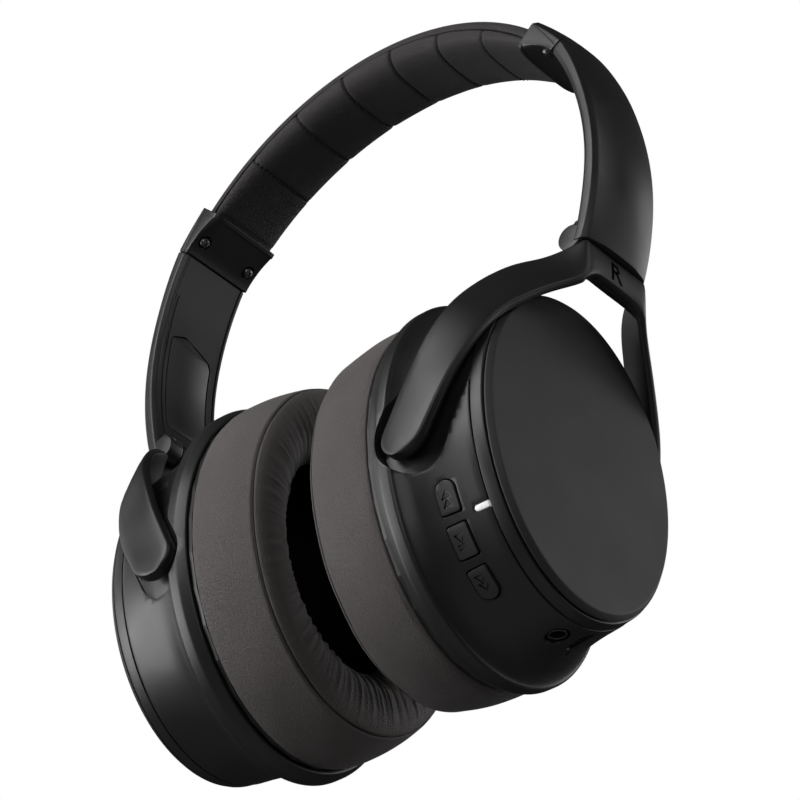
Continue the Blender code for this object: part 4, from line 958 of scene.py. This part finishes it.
def stadium(length, width, round_start, round_end, corner=0.6, steps=8):
    """Outline along local Y with full or small rounds at its ends."""
    half = width / 2
    outline = []
    for sign, full in ((1, round_end), (-1, round_start)):
        radius = half * 0.999 if full else corner
        for cx, first in ((sign * (half - radius), 0), (-sign * (half - radius), 90)):
            for i in range(steps + 1):
                angle = math.radians(first + (0 if sign > 0 else 180) + 90 * i / steps)
                outline.append((cx + radius * math.cos(angle),
                                sign * (length / 2 - radius) + radius * math.sin(angle)))
    return outline


def crosswise(outline):
    return [(y, -x) for x, y in outline]


def housing_profile():
    flare = curve_through([(5.75, 47.95), (6.4, 47.2), (7.6, 46.1), (9.0, 45.2), (11.3, 44.3), (14.0, 43.6),
                           (19.0, 42.7), (24.2, 42.1)], 4)
    rim = rounded([(0.0, 46.8, 0), (0.0, 47.75, 0.25), (2.5, 49.0, 0.4), (5.0, 49.0, 0.3), (5.5, 48.45, 0.2),
                   (5.75, 47.95, 0)])
    inside = rounded([(24.2, 42.1, 0), (24.7, 41.9, 0.2), (24.7, 38.6, 0), (23.1, 38.6, 0), (23.1, 39.6, 0),
                      (12.0, 41.6, 0), (2.1, 42.4, 0), (2.1, 46.8, 0)])
    return rim[:-1] + [tuple(p) for p in flare[:-1]] + inside


def fork_pocket(sign):
    """The recess that a strap's end lies in, with a floor that follows the wall."""
    lean = math.atan2(37.4 - 32.7, 5.4 + 4.2)
    outline = stadium(62.0, 16.6, True, False, 0.5, 12)
    turn = Matrix.Rotation(lean, 4, "Y")
    middle = turn @ Vector((0, 0, 31.0 - 8.3))
    place = (Matrix.Translation((Vector((PIVOT_X, sign * 40, PIVOT_Z)) + middle) * MM)
             @ turn @ LAID_ON_Y)
    shape = prism("pocket", outline, -10, 10, place)
    core = turned("pocket_core", [(-2.0, 0.0), (-2.0, 44.6), (9.4, 44.2), (14.0, 42.5), (19.0, 41.6),
                                  (32.0, 40.6), (32.0, 0.0)])
    return cut(shape, core)


def cup_housings():
    plain = turned("cup_housing_shell", housing_profile())
    for sign in (-1, 1):
        cut(plain, fork_pocket(sign), rod("pivot_hole", 2.05, sign * 28.0, sign * 42.0, PIVOT_X, PIVOT_Z, 32))
    left = mirrored(plain, "cup_housing_left")
    plain.name = "cup_housing_right"
    for index, degrees in enumerate(KEY_DEGS):
        cut(plain, prism("key_slot", key_outline(index, GAP), -6, 6, wall_place(degrees, KEY_U)))
    lamp = crosswise(stadium(8.0, 1.6, True, False, 0.2))
    cut(plain, prism("light_slot", lamp, -6, 6, wall_place(-37.0, 20.75 + 4.0)))
    cut(plain, prism("jack_hole", circle(2.9), -6, 6, wall_place(-95.5, 19.2)))
    usb = crosswise(stadium(7.1, 2.7, True, True))
    cut(plain, prism("usb_hole", usb, -6, 6, wall_place(-108.0, 19.8)))
    mic = crosswise(stadium(2.2, 0.7, True, True))
    cut(plain, prism("mic_slot", mic, -6, 6, wall_place(-111.5, 14.5)))
    for piece, letter in ((plain, "R"), (left, "L")):
        edit(piece)
        bpy.ops.mesh.remove_doubles(threshold=0.00003)
        done()
        bevelled(piece, 0.16, 2, 48)
        stand_in(soften(piece, 28), SATIN, "cup_housing_" + letter)


def circle(radius, sides=48):
    return [(radius * math.cos(2 * math.pi * i / sides), radius * math.sin(2 * math.pi * i / sides))
            for i in range(sides)]


def key_outline(index, spare):
    ends = ((False, True), (False, False), (True, False))[index]
    return stadium(KEY_LENGTH + 2 * spare, KEY_WIDTH + 2 * spare, *ends)


def stroke(start, end, width=0.36):
    """A thin bar between two places on a key, as an outline."""
    start, end = Vector(start), Vector(end)
    along = (end - start).normalized()
    side = Vector((-along.y, along.x)) * width / 2
    start, end = start - along * width / 2, end + along * width / 2
    return [tuple(p) for p in (start - side, end - side, end + side, start + side)]


def key_signs(index):
    """Strokes of the usual signs for back, play or pause, and next; the signs read down the keys."""
    def triangle(base, point):
        corners = [(-1.15, base), (1.15, base), (0.0, point)]
        return [stroke(a, b) for a, b in zip(corners, corners[1:] + corners[:1])]

    if index == 0:
        return triangle(-0.3, 1.4) + triangle(-2.2, -0.5)
    if index == 1:
        return triangle(1.6, -0.3) + [stroke((-1.15, at), (1.15, at)) for at in (-0.75, -1.6)]
    return triangle(2.2, 0.5) + triangle(0.3, -1.4)


def keys():
    words = ("key_back", "key_play", "key_next")
    shell = [(u, wall_radius(u) + 0.5) for u in spaced(9.0, 22.0, 30)]
    shell += [(u, wall_radius(u) - 2.0) for u in spaced(22.0, 9.0, 12)]
    for index, degrees in enumerate(KEY_DEGS):
        obj = turned(words[index] + "_cap", shell)
        keep(obj, prism("outline", key_outline(index, 0.0), -6, 6, wall_place(degrees, KEY_U)))
        bevelled(obj, 0.14, 2, 50)
        for outline in key_signs(index):
            cut(obj, prism("sign", outline, 0.12, 3.0, wall_place(degrees, KEY_U, 0.12)))
        stand_in(soften(obj), KEY_RUBBER, words[index] + "_R")


def sockets_and_light():
    lamp = prism("status_light_bar", crosswise(stadium(3.8, 1.3, True, False, 0.15)), -3.0, -0.02,
                 wall_place(-37.0, 20.9 + 1.9))
    stand_in(soften(bevelled(lamp, 0.08, 2)), LENS_WITH_PAINTED_GLOW, "status_light_R")
    place = wall_place(-95.5, 19.2, -0.4)
    jack = prism("jack_socket_ring", circle(2.3), -13.0, 0.0, place)
    cut(jack, prism("bore", circle(1.8), -11.0, 1.0, place))
    stand_in(soften(bevelled(jack, 0.12, 3)), DARK_STEEL, "jack_socket_R")
    place = wall_place(-108.0, 19.8, -0.5)
    shell = prism("charging_socket_shell", crosswise(stadium(6.8, 2.4, True, True)), -6.5, 0.0, place)
    cut(shell, prism("slot", crosswise(stadium(6.1, 1.7, True, True)), -5.5, 1.0, place))
    stand_in(soften(bevelled(shell, 0.08, 2)), SOCKET_STEEL, "charging_socket_R")
    blade = crosswise(stadium(4.6, 0.5, False, False, 0.1))
    tongue = prism("charging_socket_tongue", blade, -5.4, -0.9, place)
    dress(soften(bevelled(tongue, 0.08, 2)), SOCKET_BLACK, "cup_R")


def cup_faces():
    ring = turned("trim_ring_edge", rounded([
        (25.0, 41.9, 0.2), (27.9, 41.45, 0.3), (28.05, 39.4, 0), (25.0, 39.4, 0)]))
    pair(soften(ring, 28), SATIN, "trim_ring")
    cover = turned("cup_cover_plate", [(29.9, 0.0), (29.9, 20.0)] + rounded([
        (29.9, 39.0, 0), (29.9, 39.8, 0.3), (28.75, 41.0, 0.15), (28.35, 41.0, 0.15), (28.35, 39.1, 0),
        (25.3, 39.1, 0), (25.3, 37.4, 0), (28.3, 37.4, 0)]) + [(28.3, 0.0)])
    pair(soften(cover, 28), SOFT_TOUCH, "cup_cover")


# ---- ear pads ----

PAD_SECTION = (
    (-1.6, 46.9), (-2.3, 47.25), (-3.4, 47.45), (-6.0, 47.5), (-10.0, 47.3), (-14.0, 46.7), (-17.2, 46.0),
    (-18.55, 45.6), (-18.95, 44.7), (-19.4, 45.0), (-20.1, 44.2), (-20.7, 42.6), (-21.0, 40.2), (-21.0, 37.6),
    (-20.6, 34.8), (-19.6, 32.3), (-18.2, 30.3), (-16.4, 29.0), (-14.0, 28.4), (-11.0, 28.9), (-8.0, 30.6),
    (-4.5, 34.0), (-1.9, 36.6), (-1.6, 38.0), (-1.6, 42.0), (-1.6, 45.6),
)
PAD_AROUND = 640


def pad_pleat(turn, seed):
    """Depth of the gathers at an angle round the pad: sharp valleys of uneven size, from 0 to 1."""
    here = Vector((math.cos(turn), math.sin(turn), seed))
    warp = 1.3 * noise.noise(here * 2.1) + 0.55 * noise.noise(here * 7.0)
    ridge = abs(math.sin(31 * turn + 3.0 * warp))
    fine = abs(math.sin(58 * turn + 5.0 * warp + seed))
    gather = 0.55 + 0.9 * noise.noise(here * 4.3)
    return max(0.0, gather) * (1 - ridge ** 0.6) + 0.35 * (1 - fine ** 0.7)


def ear_pad(name, seed, sign):
    """Ring cushion whose leather is gathered over its crown and round the opening."""
    profile = [Vector((p.x, p.y)) for p in curve_through([(u, r, 0) for u, r in PAD_SECTION], 3, closed=True)]
    count = len(profile)
    normals = []
    for i in range(count):
        run = profile[(i + 1) % count] - profile[i - 1]
        normals.append(Vector((run.y, -run.x)).normalized() * -1)
    rings = []
    for k in range(PAD_AROUND):
        turn = 2 * math.pi * k / PAD_AROUND
        pleat = pad_pleat(turn, seed)
        long_pleat = pad_pleat(turn, seed + 5)
        here = Vector((math.cos(turn) * 30, math.sin(turn) * 30, seed))
        ring = []
        for spot, normal in zip(profile, normals):
            inner = math.exp(-((spot.y - 30.3) / 3.6) ** 2) if spot.x < -7 else 0.0
            crown = math.exp(-((spot.y - 36.8) / 5.0) ** 2) if spot.x < -17 else 0.0
            loose = 0.28 if spot.x < -2.5 else 0.0
            swell = noise.noise(here * 0.10 + Vector((0, 0, spot.x * 0.12))) * loose
            move = swell - 0.8 * inner * pleat - 0.55 * crown * long_pleat
            u, out = spot + normal * move
            ring.append((FLANGE_X + u, ASPECT * out * math.sin(turn), CUP_Z + out * math.cos(turn)))
        rings.append(ring)
    obj = skin(name, rings, loop=True)
    if sign < 0:
        obj.data.transform(TO_THE_LEFT)
        obj.data.flip_normals()
    return soften(obj, 70)


def circle_section(u, radius, size, sides=8):
    angles = [2 * math.pi * i / sides for i in range(sides)]
    return [(u + size * math.cos(a), radius + size * math.sin(a)) for a in angles]


def ear_pads():
    for letter, word, sign, seed in (("R", "right", 1, 2.0), ("L", "left", -1, 11.0)):
        pad = ear_pad("ear_pad_cushion_" + word, seed, sign)
        stand_in(pad, PAD_LEATHER, "ear_pad_" + letter)
    cord = turned("pad_seam_cord", circle_section(-18.95, 45.02, 0.22), steps=200)
    other = mirrored(cord, "pad_seam_cord_left")
    cord.name = "pad_seam_cord_right"
    dress(soften(cord, 60), THREAD, "cup_R")
    dress(soften(other, 60), THREAD, "cup_L")
    dome = [(-1.5, 0.0), (-1.45, 12.0), (-1.3, 24.0), (-1.1, 34.0), (-0.95, 36.4), (-0.4, 36.4), (-0.4, 0.0)]
    cloth = turned("speaker_cloth_disc", dome, steps=120)
    for piece in pair(soften(cloth), SPEAKER_CLOTH, "speaker_cloth"):
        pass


# ---- what stays as the frame has it ----


def refinish_nodes():
    """Pieces inside the headphones keep their shape and get a patterned finish."""
    finishes = {
        "headband_spring": STEEL, "headband_board": FIBRE, "slider_tongue": STEEL, "fold_pin": STEEL,
        "cup_pivot_front": STEEL, "cup_pivot_rear": STEEL, "baffle": SATIN, "driver": STEEL,
        "pad_plate": SATIN, "key_board_R": CIRCUIT, "circuit_board_R": CIRCUIT, "battery_L": CELL,
    }
    for name, cad in frame["nodes"].items():
        word = name if name in finishes else name[:-2]
        if word in finishes and not cad.hide_render:
            cad.data.materials.clear()
            cad.data.materials.append(finishes[word])


# ---- room ----


LIGHT_SIZE = 0.7
LIT_MIDDLE = (0, 0, -0.09)
LIGHTS = (
    ("left_softbox", (-0.85, -0.84, -0.16), 9.8),
    ("left_rim", (-1.11, -0.22, 0.31), 1.6),
    ("upper_left_softbox", (-0.26, -1.0, 0.52), 8.0),
    ("right_rim", (0.38, 1.06, 0.33), 3.4),
    ("right_softbox", (0.96, 0.71, -0.14), 1.3),
    ("upper_right_softbox", (1.02, 0.10, 0.54), 1.7),
    ("front_fill", (0.78, -0.91, -0.01), 2.6),
)


def area_light(name, place, power):
    data = bpy.data.lights.new(name, "AREA")
    data.shape = "RECTANGLE"
    data.size = data.size_y = LIGHT_SIZE
    data.energy = power
    obj = bpy.data.objects.new(name, data)
    linked(obj).location = place
    obj.rotation_euler = (Vector(LIT_MIDDLE) - Vector(place)).to_track_quat("-Z", "Y").to_euler()


def chosen(tree, ray, plain, shown, target):
    """One shader for plain rays and another for the rays that show the background."""
    mix = tree.nodes.new("ShaderNodeMixShader")
    for source, socket in zip((ray, plain, shown), mix.inputs):
        wire(tree, source, socket)
    wire(tree, mix.outputs[0], target.inputs["Surface"])


def make_camera():
    """The photograph's view: from behind, on the wearer's right and from below."""
    data = bpy.data.cameras.new("photo_view")
    data.lens = 152.7
    data.sensor_width = 36.0
    data.clip_end = 50.0
    obj = bpy.data.objects.new("photo_view", data)
    linked(obj).location = Vector((432.3, -493.4, -577.2)) * MM
    obj.rotation_euler = Euler([math.radians(a) for a in (126.31, -0.50, 40.61)])
    bpy.context.scene.camera = obj


def make_room():
    world = bpy.data.worlds.new("studio")
    bpy.context.scene.world = world
    world.use_nodes = True
    tree = world.node_tree
    tree.nodes.clear()
    out = tree.nodes.new("ShaderNodeOutputWorld")
    path = tree.nodes.new("ShaderNodeLightPath")
    seen = node(tree, "ShaderNodeMath", {"operation": "MAXIMUM"})
    wire(tree, path.outputs["Is Camera Ray"], seen.inputs[0])
    wire(tree, path.outputs["Is Transmission Ray"], seen.inputs[1])
    plain = node(tree, "ShaderNodeBackground", Color=(1, 1, 1, 1), Strength=0.022)
    white = node(tree, "ShaderNodeBackground", Color=(1, 1, 1, 1), Strength=1.0)
    chosen(tree, seen.outputs[0], plain.outputs[0], white.outputs[0], out)
    start_fresh()
    bpy.ops.mesh.primitive_grid_add(x_subdivisions=8, y_subdivisions=8, size=8.0, location=(0, 0, -2.0))
    floor = named("studio_floor")
    surface, floor_tree, shader, spot = finish("pale_floor", 0.9)
    clouds = clouded(floor_tree, spot, Scale=3.0)
    paint(floor_tree, shader, clouds.outputs["Fac"], [(0.0, (0.90,)), (1.0, (0.93,))])
    glow = node(floor_tree, "ShaderNodeEmission", Color=(1, 1, 1, 1), Strength=1.0)
    ray = floor_tree.nodes.new("ShaderNodeLightPath")
    target = next(n for n in floor_tree.nodes if n.bl_idname == "ShaderNodeOutputMaterial")
    chosen(floor_tree, ray.outputs["Is Camera Ray"], shader.outputs[0], glow.outputs[0], target)
    floor.data.materials.append(surface)
    for name, place, power in LIGHTS:
        area_light(name, place, power)


def main():
    make_camera()
    make_room()
    headband_cover()
    headband_cushion()
    band_necks()
    end_cap_outer()
    end_cap_inner()
    cap_screws()
    arm_shell()
    arm_panel()
    yoke()
    cup_housings()
    keys()
    sockets_and_light()
    cup_faces()
    ear_pads()
    refinish_nodes()
    bpy.context.scene.view_settings.view_transform = "Standard"


main()
start_fresh()
